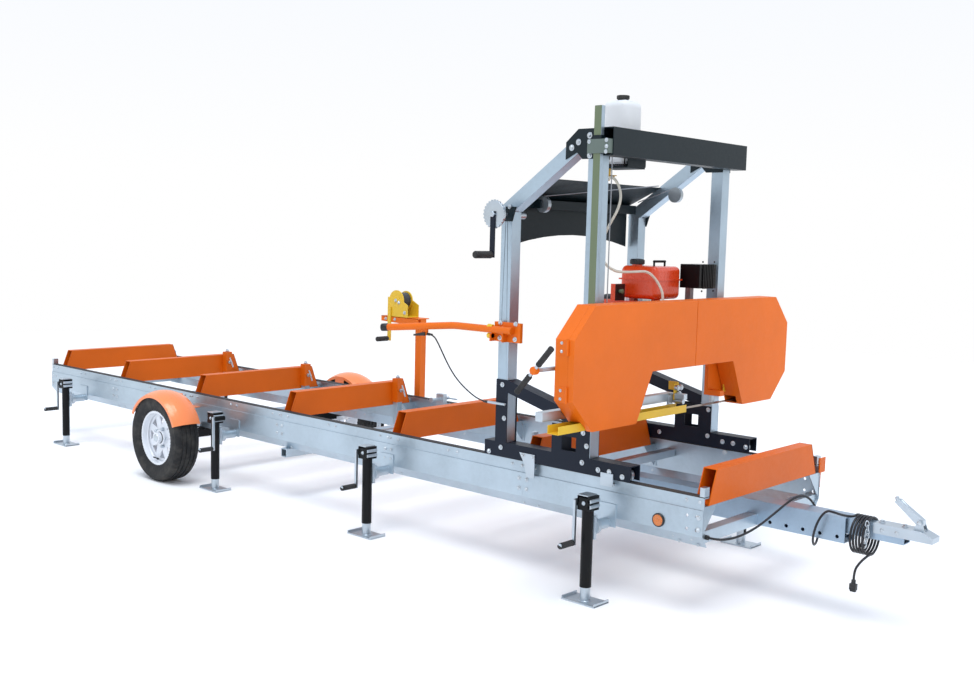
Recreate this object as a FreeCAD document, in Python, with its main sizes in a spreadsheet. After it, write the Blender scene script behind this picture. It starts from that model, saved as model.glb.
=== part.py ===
import FreeCAD, Part
import math
import os

import Sketcher

# Portable sawmill: a long bed on a road trailer, a carriage that rolls along it and a sawing head on posts.
# Built about x = 0 at the front end of the rails (rear is -X), y = 0 on the centre line (near side is -Y)
# and z = 0 on the ground, in millimetres. Every piece is then moved so that the origin is on the ground
# under the middle of the whole machine.

SIZES = {
    # bed
    "section_length": 920, "section_lead": 40, "rail_reach": 517.5, "sheet": 4, "web_low": 347, "web_high": 458,
    "flange_reach": 481, "flange_low": 300, "rail_top": 510, "strip_thick": 4, "strip_width": 36, "strip_inset": 5,
    "seam": 0.4, "bunk_width": 65, "bunk_low": 472, "bunk_high": 617, "bunk_reach_low": 474, "bunk_reach_high": 420,
    "bunk_front": 2, "bunk_rear_gap": 60, "bunk_wall": 4, "cross_low": 316, "cross_high": 366, "cross_bend": 349,
    "cross_reach": 484, "cross_width": 50, "cross_inset": 12, "hole_radius": 6.5, "hole_inset": 52, "hole_gap_x": 45,
    "hole_gap_z": 55, "hole_level": 402, "tube_radius": 19, "tube_level": 425, "dog_y": 92, "dog_width": 36,
    "dog_thick": 8, "dog_height": 70, "gusset_leg": 88, "gusset_thick": 5, "foot_width": 60, "gland_radius": 10,
    "gland_front": 2, "gland_y": 470, "gland_level": 340, "stop_width": 22, "stop_high": 552,
    "end_plate_near": 497, "end_plate_far": 553, "end_plate_low": 472, "end_plate_high": 542, "end_plate_thick": 6,
    "end_web_run": 60, "end_web_low": 400,
    # running gear
    "axle_offset": 62, "tyre_radius": 265, "tyre_width": 165, "tread_width": 122, "wheel_reach": 735,
    "rim_radius": 166, "bead_radius": 153, "bead_width": 124, "bulge_radius": 205, "shoulder_radius": 238,
    "vent_outer": 134, "vent_inner": 74, "disc_thick": 6, "disc_offset": 14, "hub_radius": 48, "hub_length": 74,
    "hub_bore": 16, "hub_cap": 26, "nut_circle": 57, "nut_radius": 9, "nut_height": 12, "axle_side": 50,
    "axle_reach": 600, "stub_radius": 15, "spring_width": 45, "spring_height": 32, "fender_radius": 265,
    "fender_crown": 24, "fender_lip": 18, "fender_thick": 4, "fender_inner": 644, "fender_outer": 826,
    "fender_skirt": 26, "fender_start_angle": 23, "fender_sweep_angle": 128,
    # tongue and coupler
    "tongue_side": 100, "tongue_low": 318, "tongue_high": 426, "tongue_front": 390, "tongue_rear": 900,
    "tongue_wall": 5, "pin_hole_radius": 8, "pin_hole_level": 341, "pin_hole_first": 51, "pin_hole_pitch": 76.5,
    "inner_side": 64, "inner_rear": 330, "inner_front": 628, "inner_wall": 4, "coupler_back": 502,
    "coupler_length": 240, "coupler_low": 384, "coupler_wall": 5, "coupler_nose": 50, "coupler_slope": 25,
    "coupler_fall": 10, "ball_radius": 25.4, "ball_back": 42, "latch_x": 680, "latch_level": 455, "latch_rise": 72,
    "latch_reach": 100, "latch_width": 26, "latch_thick": 8, "latch_pin_radius": 6,
    # jacks
    "jack_rear_offset": 435, "jack_axle_gap": 418, "jack_middle_offset": 5, "jack_front": 476, "jack_reach": 655,
    "jack_radius": 25.4, "jack_wall": 2.6, "jack_head_side": 66, "jack_head_low": 400, "jack_head_high": 462,
    "jack_low": 64, "leg_radius": 22.3, "leg_top": 345, "foot_length": 175, "foot_depth": 105, "foot_thick": 6,
    "swivel_level": 320, "swivel_radius": 24, "swivel_collar": 36, "collar_width": 22, "swivel_outer": 600,
    "crank_offset": 40, "crank_level": 430, "crank_drop": 186, "crank_radius": 6, "grip_length": 90,
    "grip_radius": 12,
    # carriage
    "frame_inner": 464, "frame_outer": 536, "plate": 4, "frame_front": 350, "frame_rear": 1188, "frame_low": 518,
    "frame_high": 586, "rear_plate_high": 880, "front_plate_high": 718, "front_plate_start": 783,
    "front_plate_end": 572, "rear_plate_start": 1124, "rear_plate_end": 1054, "window_start": 725,
    "window_end": 645, "window_low": 604, "window_high": 668, "strut_top_front": 770, "strut_depth": 58,
    "keeper_thick": 4, "keeper_low": 448, "keeper_high": 556, "keeper_width": 92, "keeper_x": 922,
    "keeper_front_x": 470, "keeper_front_low": 484, "keeper_front_high": 540, "keeper_front_width": 66,
    "roller_radius": 26, "roller_width": 17, "roller_reach": 491, "roller_rear_x": 1151, "roller_front_x": 390,
    "roller_pin_radius": 5, "roller_rest": 0.1, "post_side": 64, "post_wall": 3, "rear_post_x": 1122,
    "front_post_x": 634, "rear_post_high": 1655, "front_post_high": 1985, "mast_width": 38, "mast_depth": 24,
    "mast_x": 588, "mast_low": 860, "mast_high": 2100, "mast_wall": 3, "mast_gap": 0.5,
    # top frame
    "beam_front": 500, "beam_low": 1893, "beam_high": 2011, "beam_reach": 565, "bar_depth": 44, "bar_gap": 12,
    "bar_drop": 62, "brace_foot": 72, "brace_trim": 4, "brace_nose": 26, "brace_heel": 27, "brace_low_end": 1946,
    "hood_high": 1805, "hood_front": 930, "hood_reach": 448, "hood_thick": 3, "curtain_low": 1503,
    "curtain_arch": 52, "corner_low": 1880, "corner_high": 2009, "corner_rear": 755, "corner_cut": 55,
    "corner_notch": 30, "pulley_radius": 38, "pulley_width": 22, "near_pulley_y": 340, "far_pulley_x": 830,
    "far_pulley_level": 1770, "clip_half": 24,
    # water tank and its cage
    "tank_x": 588, "tank_depth": 134, "tank_near": 334, "tank_width": 134, "tank_low": 1862, "tank_height": 290,
    "tank_round": 30, "tank_neck_radius": 22, "tank_neck": 8, "tank_cap_radius": 27, "tank_cap": 16,
    "cage_wire": 8, "cage_gap": 0.5, "cage_rise": 60, "valve_radius": 11, "valve_drop": 46, "valve_inset": 34,
    "valve_y": 22,
    # height crank
    "shaft_radius": 9, "spool_radius": 20, "spool_width": 46, "crank_shaft_level": 1640, "crank_shaft_x": 1090,
    "dial_radius": 60, "dial_thick": 8, "dial_y": 615, "dial_circle": 52, "dial_hole": 4, "wheel_arm": 196,
    "arm_width": 26, "arm_thick": 8, "wheel_grip": 112,
    # push handle
    "handle_level": 1112, "handle_near": 566, "handle_radius": 17, "handle_front": 1010, "handle_straight": 1378,
    "handle_end": 1735, "handle_end_y": 704, "handle_end_level": 1082, "handle_bend": 150, "clasp_low": 1058,
    "clasp_high": 1148, "clasp_thick": 6, "clasp_rear": 11, "clasp_front": 147, "lever_block": 30,
    "lever_length": 70, "lever_pin": 4, "lever_drop": 14, "lever_rise": 28,
    # sawing head
    "guard_front": 400, "guard_back": 495, "guard_seam": 430, "guard_top": 1272, "guard_shoulder": 1137,
    "guard_waist": 886, "guard_low": 752, "guard_reach": 885, "guard_top_reach": 752, "guard_foot_reach": 747,
    "throat_high": 972, "throat_near": 325, "throat_far": 358, "throat_near_low": 435, "throat_far_low": 465,
    "guard_wall": 3, "door_gap": 0.5, "door_split": 20, "door_split_gap": 3, "hinge_radius": 5, "hinge_low": 880,
    "hinge_high": 1073, "hinge_length": 66, "band_radius": 241.5, "band_y": 625, "band_level": 1012,
    "band_x": 456, "band_width": 32, "band_rim": 16, "band_web": 8, "band_hub_radius": 38, "band_hub": 46,
    "axle_radius": 12.5, "axle_clear": 1, "axle_tail": 22, "blade_thick": 1, "blade_width": 32, "blade_gap": 0.5,
    "pulley_wheel_radius": 88, "pulley_thick": 16, "pulley_gap": 3.5, "head_beam_side": 50, "head_beam_high": 80,
    "head_beam_reach": 720, "nut_block": 20, "side_beam_near": 150, "side_beam_far": 405, "side_beam_width": 40,
    "side_beam_low": 976, "side_beam_high": 1036, "side_beam_rear": 1010, "notch_length": 24, "notch_strip": 22,
    "shoe_low": 886, "shoe_high": 930, "shoe_gap": 0.5, "shoe_inset": 10, "deck_thick": 6, "deck_front": 610,
    # guide arm, blade cover and tension handle
    "arm_side": 38, "arm_low": 802, "arm_near": 950, "arm_far": 5, "arm_cap": 24, "arm_gap": 3.5,
    "sleeve_wall": 4, "sleeve_width": 60, "sleeve_near": 640, "sleeve_far": 250, "sleeve_lip": 20,
    "guide_roller": 26, "guide_block": 36, "guide_pin": 12, "guide_plate_near": 300, "guide_plate_far": 440,
    "cover_low": 755, "cover_high": 790, "cover_wall": 2, "cover_near": 930, "cover_far": 10,
    "cover_back": 488.5, "cover_front": 431.5, "tension_radius": 9, "tension_reach": 987, "bar_length": 268,
    "bar_radius": 8, "bar_grip_radius": 13, "bar_grip_length": 104, "bar_tilt_angle": 48,
    # engine
    "engine_y": 95, "engine_level": 1160, "case_front": 640, "case_rear": 905, "case_near": 38, "case_far": 235,
    "case_high": 1252, "case_near_stand": 60, "fan_depth": 62, "fan_radius": 112, "starter_radius": 74,
    "starter_depth": 30, "output_radius": 11, "clutch_radius": 52, "fin_thick": 4, "fin_gap": 6,
    "cylinder_far": 380, "cylinder_low": 1100, "cylinder_high": 1240, "muffler_front": 540, "muffler_rear": 649,
    "muffler_near": 247, "muffler_far": 397, "muffler_low": 1316, "muffler_high": 1430, "port_width": 30,
    "port_near": 345, "cleaner_front": 815, "cleaner_rear": 925, "cleaner_near": 290, "cleaner_far": 390,
    "cleaner_low": 1285, "cleaner_high": 1406, "control_near": 86, "control_far": 8, "control_front": 790,
    "control_rear": 816, "control_high": 1331, "fuel_front": 628, "fuel_rear": 837, "fuel_near": 10,
    "fuel_far": 227, "fuel_low": 1262, "fuel_high": 1418, "fuel_round": 26, "fuel_seam": 1354, "fuel_flange": 7,
    "fuel_neck_radius": 26, "fuel_neck_x": 772, "fuel_neck_y": 60, "fuel_cap_radius": 32, "fuel_cap": 22,
    "belt_thick": 10, "belt_gap": 0.5, "belt_inset": 3,
    # log supports, log clamp and winch
    "support_side": 40, "support_y": 345, "support_offset": 58, "post_foot": 352, "post_head": 572,
    "bracket_low": 380, "bracket_high": 415, "sleeve_gap": 0.5, "sleeve_sheet": 4, "sleeve_height": 148,
    "sleeve_raised": 640, "gusset_run": 34, "gusset_rise": 58, "support_plate": 6, "clamp_y": 330,
    "clamp_bar": 30, "clamp_pad": 80, "clamp_high": 590, "clamp_screw": 9, "winch_offset": 40, "winch_post": 49,
    "winch_reach": 553, "winch_high": 1000, "winch_plate": 345, "winch_plate_width": 100,
    "winch_plate_thick": 6, "winch_middle": 136, "winch_cheek": 4, "winch_cheek_rear": 75,
    "winch_cheek_front": 112, "winch_cheek_top": 20, "winch_cheek_step": 78, "winch_cheek_high": 124,
    "winch_inside": 92, "winch_shaft_radius": 8, "winch_shaft_rise": 104, "winch_mesh_x": 52,
    "winch_mesh_z": 58, "strap_radius": 44, "winch_flange_radius": 60, "winch_gear_radius": 66,
    "winch_gear_thick": 7, "pinion_radius": 14, "winch_arm": 204, "winch_grip": 96,
    # trailer light cord and throttle cable
    "cord_radius": 5, "coil_radius": 75, "coil_turns": 5.5, "coil_pitch": 13, "plug_radius": 15,
    "plug_length": 52, "throttle_radius": 3.5,
    # general clearances
    "overrun": 5, "running_gap": 0.5,
}


class Size:
    """A length worked out from the sheet: its value, and the sheet formula that gives it."""

    def __init__(self, value, text):
        self.value = float(value)
        self.text = text

    def __add__(self, other):
        other = as_size(other)
        return Size(self.value + other.value, f"({self.text} + {other.text})")

    def __sub__(self, other):
        other = as_size(other)
        return Size(self.value - other.value, f"({self.text} - {other.text})")

    def __mul__(self, other):
        other = as_size(other)
        return Size(self.value * other.value, f"({self.text} * {other.text})")

    def __truediv__(self, other):
        other = as_size(other)
        return Size(self.value / other.value, f"({self.text} / {other.text})")

    def __neg__(self):
        return Size(-self.value, f"(-1 * {self.text})")

    __radd__ = __add__
    __rmul__ = __mul__


def as_size(thing):
    return thing if isinstance(thing, Size) else Size(thing, repr(float(thing)))


class Sheet:
    """The driving sizes, read by name."""

    def __init__(self, doc, sizes):
        self.page = doc.addObject("Spreadsheet::Sheet", "Sizes")
        for row, (name, value) in enumerate(sizes.items(), start=1):
            self.page.set(f"A{row}", str(value))
            self.page.setAlias(f"A{row}", name)
        doc.recompute()
        self.sizes = sizes

    def __getattr__(self, name):
        return Size(self.sizes[name], f"Sizes.{name}")


doc = FreeCAD.newDocument("sawmill")
s = Sheet(doc, SIZES)
ZERO = Size(0, "0")
SIDES = (-1, 1)
nodes = {}


def bind(item, prop, size):
    item.setExpression(prop, size.text)


def put(item, x, y, z, turn=None):
    """Puts a piece at a point, with an optional turn."""
    base = FreeCAD.Vector(x.value, y.value, z.value)
    item.Placement = FreeCAD.Placement(base, turn or FreeCAD.Rotation())
    for axis, size in zip("xyz", (x, y, z)):
        bind(item, f"Placement.Base.{axis}", size)
    return item


def ordered(a, b):
    a, b = as_size(a), as_size(b)
    return (a, b) if a.value <= b.value else (b, a)


def block(x, y, z):
    """A box between two x values, two y values and two z values."""
    item = doc.addObject("Part::Box", "Block")
    lows = []
    for prop, pair in zip(("Length", "Width", "Height"), (x, y, z)):
        low, high = ordered(*pair)
        lows.append(low)
        bind(item, prop, high - low)
    return put(item, *lows)


ALONG = {
    "x": FreeCAD.Rotation(FreeCAD.Vector(0, 1, 0), 90),
    "y": FreeCAD.Rotation(FreeCAD.Vector(1, 0, 0), -90),
    "z": FreeCAD.Rotation(),
}


def rod(axis, radius, low, high, a, b):
    """A round bar along an axis from low to high; a and b are its other two coordinates, in x, y, z order."""
    low, high = ordered(low, high)
    item = doc.addObject("Part::Cylinder", "Rod")
    bind(item, "Radius", radius)
    bind(item, "Height", high - low)
    spot = {"x": (low, a, b), "y": (a, low, b), "z": (a, b, low)}[axis]
    return put(item, *map(as_size, spot), ALONG[axis])


def cut(base, *tools):
    item = doc.addObject("Part::Cut", "Cut")
    item.Base = base
    item.Tool = tools[0] if len(tools) == 1 else weld(*tools)
    return item


def weld(*pieces):
    item = doc.addObject("Part::MultiFuse", "Weld")
    item.Shapes = list(pieces)
    return item


def pipe(axis, radius, bore, low, high, a, b):
    """A round tube with an open bore."""
    low, high = ordered(low, high)
    inner = rod(axis, bore, low - s.overrun, high + s.overrun, a, b)
    return cut(rod(axis, radius, low, high, a, b), inner)


def square_tube(axis, x, y, z, wall):
    """A box tube whose bore runs along the named axis."""
    spans = {"x": ordered(*x), "y": ordered(*y), "z": ordered(*z)}
    inner = {}
    for name, (low, high) in spans.items():
        grow = s.overrun if name == axis else -wall
        inner[name] = (low - grow, high + grow)
    return cut(block(*spans.values()), block(*inner.values()))


PLANES = {"xy": "XY_Plane", "xz": "XZ_Plane", "yz": "YZ_Plane"}


def sketch_on(body, plane):
    face = [item for item in body.Origin.OriginFeatures if item.Role == PLANES[plane]][0]
    sketch = body.newObject("Sketcher::SketchObject", "Outline")
    sketch.AttachmentSupport = (face, [""])
    sketch.MapMode = "FlatFace"
    return sketch


def draw_loop(sketch, points):
    """Draws a closed outline of straight edges and ties every corner to the sheet."""
    first = sketch.GeometryCount
    count = len(points)
    points = [(as_size(u), as_size(v)) for u, v in points]
    for here in range(count):
        start, end = points[here], points[(here + 1) % count]
        line = Part.LineSegment(FreeCAD.Vector(start[0].value, start[1].value, 0),
                                FreeCAD.Vector(end[0].value, end[1].value, 0))
        sketch.addGeometry(line, False)
    for here in range(count):
        following = first + (here + 1) % count
        sketch.addConstraint(Sketcher.Constraint("Coincident", first + here, 2, following, 1))
    for here, corner in enumerate(points):
        for kind, size in zip(("DistanceX", "DistanceY"), corner):
            index = sketch.addConstraint(Sketcher.Constraint(kind, -1, 1, first + here, 1, size.value))
            sketch.setExpression(f"Constraints[{index}]", size.text)


def draw_circle(sketch, u, v, radius):
    u, v = as_size(u), as_size(v)
    ring = Part.Circle(FreeCAD.Vector(u.value, v.value, 0), FreeCAD.Vector(0, 0, 1), radius.value)
    index = sketch.addGeometry(ring, False)
    for kind, size in (("DistanceX", u), ("DistanceY", v)):
        line = sketch.addConstraint(Sketcher.Constraint(kind, -1, 1, index, 3, size.value))
        sketch.setExpression(f"Constraints[{line}]", size.text)
    line = sketch.addConstraint(Sketcher.Constraint("Radius", index, radius.value))
    sketch.setExpression(f"Constraints[{line}]", radius.text)


def prism(plane, points, low, high, holes=(), circles=()):
    """A flat outline padded from low to high along the axis that its plane lacks."""
    low, high = ordered(low, high)
    body = doc.addObject("PartDesign::Body", "Profile")
    sketch = sketch_on(body, plane)
    draw_loop(sketch, points)
    for hole in holes:
        draw_loop(sketch, hole)
    for u, v, radius in circles:
        draw_circle(sketch, u, v, radius)
    pad = body.newObject("PartDesign::Pad", "Pad")
    pad.Profile = sketch
    bind(pad, "Length", high - low)
    # the XZ plane looks along -Y, so its pad grows downwards from the higher value
    spot = {"xy": (ZERO, ZERO, low), "xz": (ZERO, high, ZERO), "yz": (low, ZERO, ZERO)}[plane]
    return put(body, *spot)


def hollow(body, axis, side, wall):
    """Opens a padded body on one of its flat faces and leaves walls of even thickness."""
    doc.recompute()
    pad = body.Tip
    reach = [side * getattr(face.CenterOfMass, axis) for face in pad.Shape.Faces]
    name = f"Face{reach.index(max(reach)) + 1}"
    shell = body.newObject("PartDesign::Thickness", "Walls")
    shell.Base = (pad, [name])
    shell.Mode = 0
    shell.Join = 1
    shell.Reversed = True
    bind(shell, "Value", wall)
    return body


def turned(points, x, y, z):
    """A ring turned about an axis along Y through a point; the outline is radius and y."""
    body = doc.addObject("PartDesign::Body", "Turned")
    sketch = sketch_on(body, "xy")
    draw_loop(sketch, points)
    spin = body.newObject("PartDesign::Revolution", "Turn")
    spin.Profile = sketch
    spin.ReferenceAxis = (sketch, ["V_Axis"])
    spin.Angle = 360
    return put(body, *map(as_size, (x, y, z)))


def turned_x(points, x, y, z):
    """A ring turned about an axis along X through a point; the outline is x and radius."""
    body = doc.addObject("PartDesign::Body", "Turned")
    sketch = sketch_on(body, "xy")
    draw_loop(sketch, points)
    spin = body.newObject("PartDesign::Revolution", "Turn")
    spin.Profile = sketch
    spin.ReferenceAxis = (sketch, ["H_Axis"])
    spin.Angle = 360
    return put(body, *map(as_size, (x, y, z)))


def feature(shape):
    item = doc.addObject("Part::Feature", "Shape")
    item.Shape = shape
    return item


def group(*pieces):
    item = doc.addObject("Part::Compound", "Group")
    item.Links = list(pieces)
    return item


def node(name, *pieces):
    """Gathers the pieces of a sub-part under its own name."""
    item = group(*pieces)
    item.Label = name
    nodes[name] = item
    return item


def both(maker):
    """Makes a piece on the near side (-1) and on the far side (1)."""
    return [maker(side) for side in SIDES]


def fender(centre_x, side, centre_z):
    """A crowned mudguard with an edge lip on both sides, from its start angle through its sweep."""
    middle = (s.fender_inner + s.fender_outer) / 2 * side
    half = (s.fender_outer - s.fender_inner) / 2
    thick = s.fender_thick
    crown = [(s.fender_radius + s.fender_crown * (1 - share * share), half * share)
             for share in (-1, -0.75, -0.5, -0.25, 0, 0.25, 0.5, 0.75, 1)]
    under = [(radius - thick, y * (half - thick) / half) for radius, y in reversed(crown)]
    lip = s.fender_radius - s.fender_lip
    outline = [(lip, -half), *crown, (lip, half), (lip, half - thick), *under, (lip, -half + thick)]
    body = doc.addObject("PartDesign::Body", "Mudguard")
    sketch = sketch_on(body, "xy")
    draw_loop(sketch, outline)
    spin = body.newObject("PartDesign::Revolution", "Turn")
    spin.Profile = sketch
    spin.ReferenceAxis = (sketch, ["V_Axis"])
    bind(spin, "Angle", s.fender_sweep_angle)
    turn = FreeCAD.Rotation(FreeCAD.Vector(0, 1, 0), -(s.fender_start_angle + s.fender_sweep_angle).value)
    return put(body, centre_x, middle, centre_z, turn)


def bent_path(points, bend_radius=None):
    """Straight runs joined by arcs: a given bend radius, or as large as the shorter run allows."""
    arc_share = 0.45
    places = [FreeCAD.Vector(*spot) for spot in points]
    edges = []
    start = places[0]
    radii = []
    for before, corner, after in zip(places, places[1:], places[2:]):
        into = (corner - before).normalize()
        out = (after - corner).normalize()
        turn = into.getAngle(out)
        shorter = min((corner - before).Length, (after - corner).Length)
        radius = bend_radius or arc_share * shorter / math.tan(turn / 2)
        radii.append(radius)
        back = radius * math.tan(turn / 2)
        enter = corner - into * back
        leave = corner + out * back
        middle = (out - into).normalize()
        centre = corner + middle * (radius / math.cos(turn / 2))
        edges.append(Part.LineSegment(start, enter).toShape())
        edges.append(Part.Arc(enter, centre - middle * radius, leave).toShape())
        start = leave
    edges.append(Part.LineSegment(start, places[-1]).toShape())
    return Part.Wire(edges), radii


def sweep_round(path, radius):
    """A solid round tube along a path."""
    first = path.Edges[0]
    direction = first.tangentAt(first.FirstParameter)
    ring = Part.Wire(Part.Circle(first.valueAt(first.FirstParameter), direction, radius).toShape())
    shell = Part.BRepOffsetAPI.MakePipeShell(path)
    shell.add(ring)
    shell.build()
    shell.makeSolid()
    return shell.shape()


def bed():
    """Rails in spliced sections, running strips, bunks, cross members and the brackets between them."""
    rail_end = seam(6)
    t = s.sheet
    lip_share = 0.25
    lip = t * lip_share
    reach = s.rail_reach
    upper = reach - s.strip_inset
    strip_inner = upper - s.strip_width

    def rail_outline(side):
        outer = [(reach, s.web_low), (reach, s.web_high), (upper, s.web_high), (upper, s.rail_top),
                 (strip_inner, s.rail_top), (strip_inner, s.rail_top - t), (upper - t, s.rail_top - t),
                 (upper - t, s.web_high - t), (reach - t, s.web_high - t), (reach - t, s.web_low + lip),
                 (s.flange_reach - t, s.flange_low + lip), (s.flange_reach, s.flange_low)]
        return [(y * side, z) for y, z in outer]

    rails = []
    for side in SIDES:
        for index in range(6):
            front = seam(index) - s.seam / 2
            rear = seam(index + 1) + s.seam / 2
            rail = prism("yz", rail_outline(side), rear, front)
            if index in (0, 5):
                middle = front - s.hole_inset if index == 0 else rear + s.hole_inset
                holes = [rod("y", s.hole_radius, (reach - t * 2) * side, (reach + t) * side, x, z)
                         for x in (middle - s.hole_gap_x / 2, middle + s.hole_gap_x / 2)
                         for z in (s.hole_level - s.hole_gap_z / 2, s.hole_level + s.hole_gap_z / 2)]
                rail = cut(rail, *holes)
            rails.append(rail)
    splices = []
    for side in SIDES:
        for index in range(1, 6):
            x = seam(index)
            y = (reach - t) * side
            splices.append(block((x - s.gusset_leg / 2, x + s.gusset_leg / 2), (y, y - s.gusset_thick * side),
                                 (s.web_low + s.gusset_thick * 2, s.web_high - s.gusset_thick * 2)))
    node("bed_rails", *rails)
    node("running_strips", *both(lambda side: block((rail_end, ZERO), (strip_inner * side, upper * side),
                                                    (s.rail_top, s.rail_top + s.strip_thick))))
    bunks = []
    for index in range(7):
        front = -s.bunk_front if index == 0 else seam(index) + s.bunk_width / 2
        if index == 6:
            front = rail_end + s.bunk_rear_gap + s.bunk_width
        rear = front - s.bunk_width
        outline = [(-s.bunk_reach_low, s.bunk_low), (s.bunk_reach_low, s.bunk_low),
                   (s.bunk_reach_high, s.bunk_high), (-s.bunk_reach_high, s.bunk_high)]
        inner = block((rear + s.bunk_wall, front - s.bunk_wall), (-reach, reach),
                      (s.bunk_low + s.bunk_wall, s.bunk_high - s.bunk_wall))
        bunks.append(cut(prism("yz", outline, rear, front), inner))
        for side in SIDES:
            y = (upper - t) * side
            inside = s.bunk_reach_low - s.foot_width
            splices.append(block((rear, front), (y, inside * side), (s.bunk_low - s.gusset_thick, s.bunk_low)))
            outline = [(y, s.bunk_low - s.gusset_thick), (inside * side, s.bunk_low - s.gusset_thick),
                       (y, s.web_low + s.gusset_thick * 2)]
            splices.append(prism("yz", outline, front - s.gusset_thick, front))
    node("log_bunks", *bunks)

    cross = []
    inner = reach - t
    for index, x in enumerate((-s.cross_inset, rail_end + s.cross_inset + s.cross_width)):
        for side in SIDES:
            start = s.tongue_side / 2 * side if index == 0 else ZERO
            outline = [(start, s.cross_low), (s.cross_reach * side, s.cross_low), (inner * side, s.cross_bend),
                       (inner * side, s.cross_high), (start, s.cross_high)]
            cross.append(prism("yz", outline, x - t, x))
            cross.append(block((x - s.cross_width, x - t), (start, inner * side), (s.cross_high - t, s.cross_high)))
            cross.append(block((x - s.cross_width, x - t), (start, s.cross_reach * side),
                               (s.cross_low, s.cross_low + t)))
    cross.append(square_tube("y", (-s.tongue_rear + s.cross_width, -s.tongue_rear + s.cross_width * 2),
                             (-upper + t, upper - t),
                             (s.tongue_high, s.bunk_low - s.gusset_thick - s.sheet), t))
    post = s.winch_post / 2
    winch_x = seam(3) + s.winch_offset
    cross.append(square_tube("y", (winch_x - post, winch_x + post), (-s.rail_reach, s.winch_reach + post),
                             (s.flange_low - s.winch_post, s.flange_low), t))
    for index in (1, 2, 3, 4):
        x = (seam(index) + seam(index + 1)) / 2
        cross.append(rod("y", s.tube_radius, -inner, inner, x, s.tube_level))
        if index != 2:
            cross.append(block((x - s.dog_thick, x + s.dog_thick), (s.dog_y, s.dog_y + s.dog_width),
                               (s.tube_level + s.tube_radius, s.tube_level + s.tube_radius + s.dog_height)))
    for side in SIDES:
        splices.append(block((-s.stop_width, ZERO), (strip_inner * side, upper * side),
                             (s.rail_top + s.strip_thick, s.stop_high)))
        splices.append(block((rail_end, rail_end + s.stop_width), (strip_inner * side, upper * side),
                             (s.rail_top + s.strip_thick, s.stop_high)))
    plate_half = s.swivel_collar + s.swivel_radius / 2
    for x in jack_places():
        for side in SIDES:
            plate = (reach + s.gusset_thick) * side
            splices.append(block((x - plate_half, x + plate_half), (reach * side, plate),
                                 (s.flange_low + s.gusset_thick, s.web_low + s.foot_width)))
            splices.append(pipe("y", s.swivel_radius, s.swivel_radius - t, plate, s.swivel_outer * side, x,
                                s.swivel_level))
    half = s.support_side / 2
    for x in support_places():
        splices.append(square_tube("z", (x - half, x + half), (s.support_y - half, s.support_y + half),
                                   (s.post_foot, s.post_head), t))
        splices.append(block((x - half, x + half), (s.support_y + half, inner), (s.bracket_low, s.bracket_high)))
    splices.append(cut(rod("x", s.gland_radius, -s.cross_inset, s.gland_front, -s.gland_y, s.gland_level),
                       rod("x", s.cord_radius, s.gland_front - s.gland_radius, s.gland_front + s.overrun, -s.gland_y,
                           s.gland_level)))
    node("cross_members", *cross, *splices)
    end = s.end_plate_thick
    web = [(-s.end_web_run, s.end_web_low), (ZERO, s.end_web_low), (ZERO, s.end_plate_high),
           (-s.end_web_run / 2, s.end_plate_low)]
    node("rail_end_stop", weld(block((ZERO, end), (s.end_plate_near, s.end_plate_far), (s.end_plate_low, s.end_plate_high)),
                               prism("xz", web, reach, reach + end)))


def seam(index):
    """The place of a rail seam along the bed; the first section is longer than the others."""
    return ZERO if index == 0 else -(s.section_lead + s.section_length * index)


def axle_place():
    return seam(4) + s.axle_offset


def jack_places():
    """The four jack stations along the bed, from the rear."""
    return [seam(5) - s.jack_rear_offset, axle_place() + s.jack_axle_gap, seam(2) - s.jack_middle_offset, -s.jack_front]


def support_places():
    """The three log supports, each in front of a bunk, from the rear."""
    return [seam(index) + s.support_offset for index in (5, 4, 3)]


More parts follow.
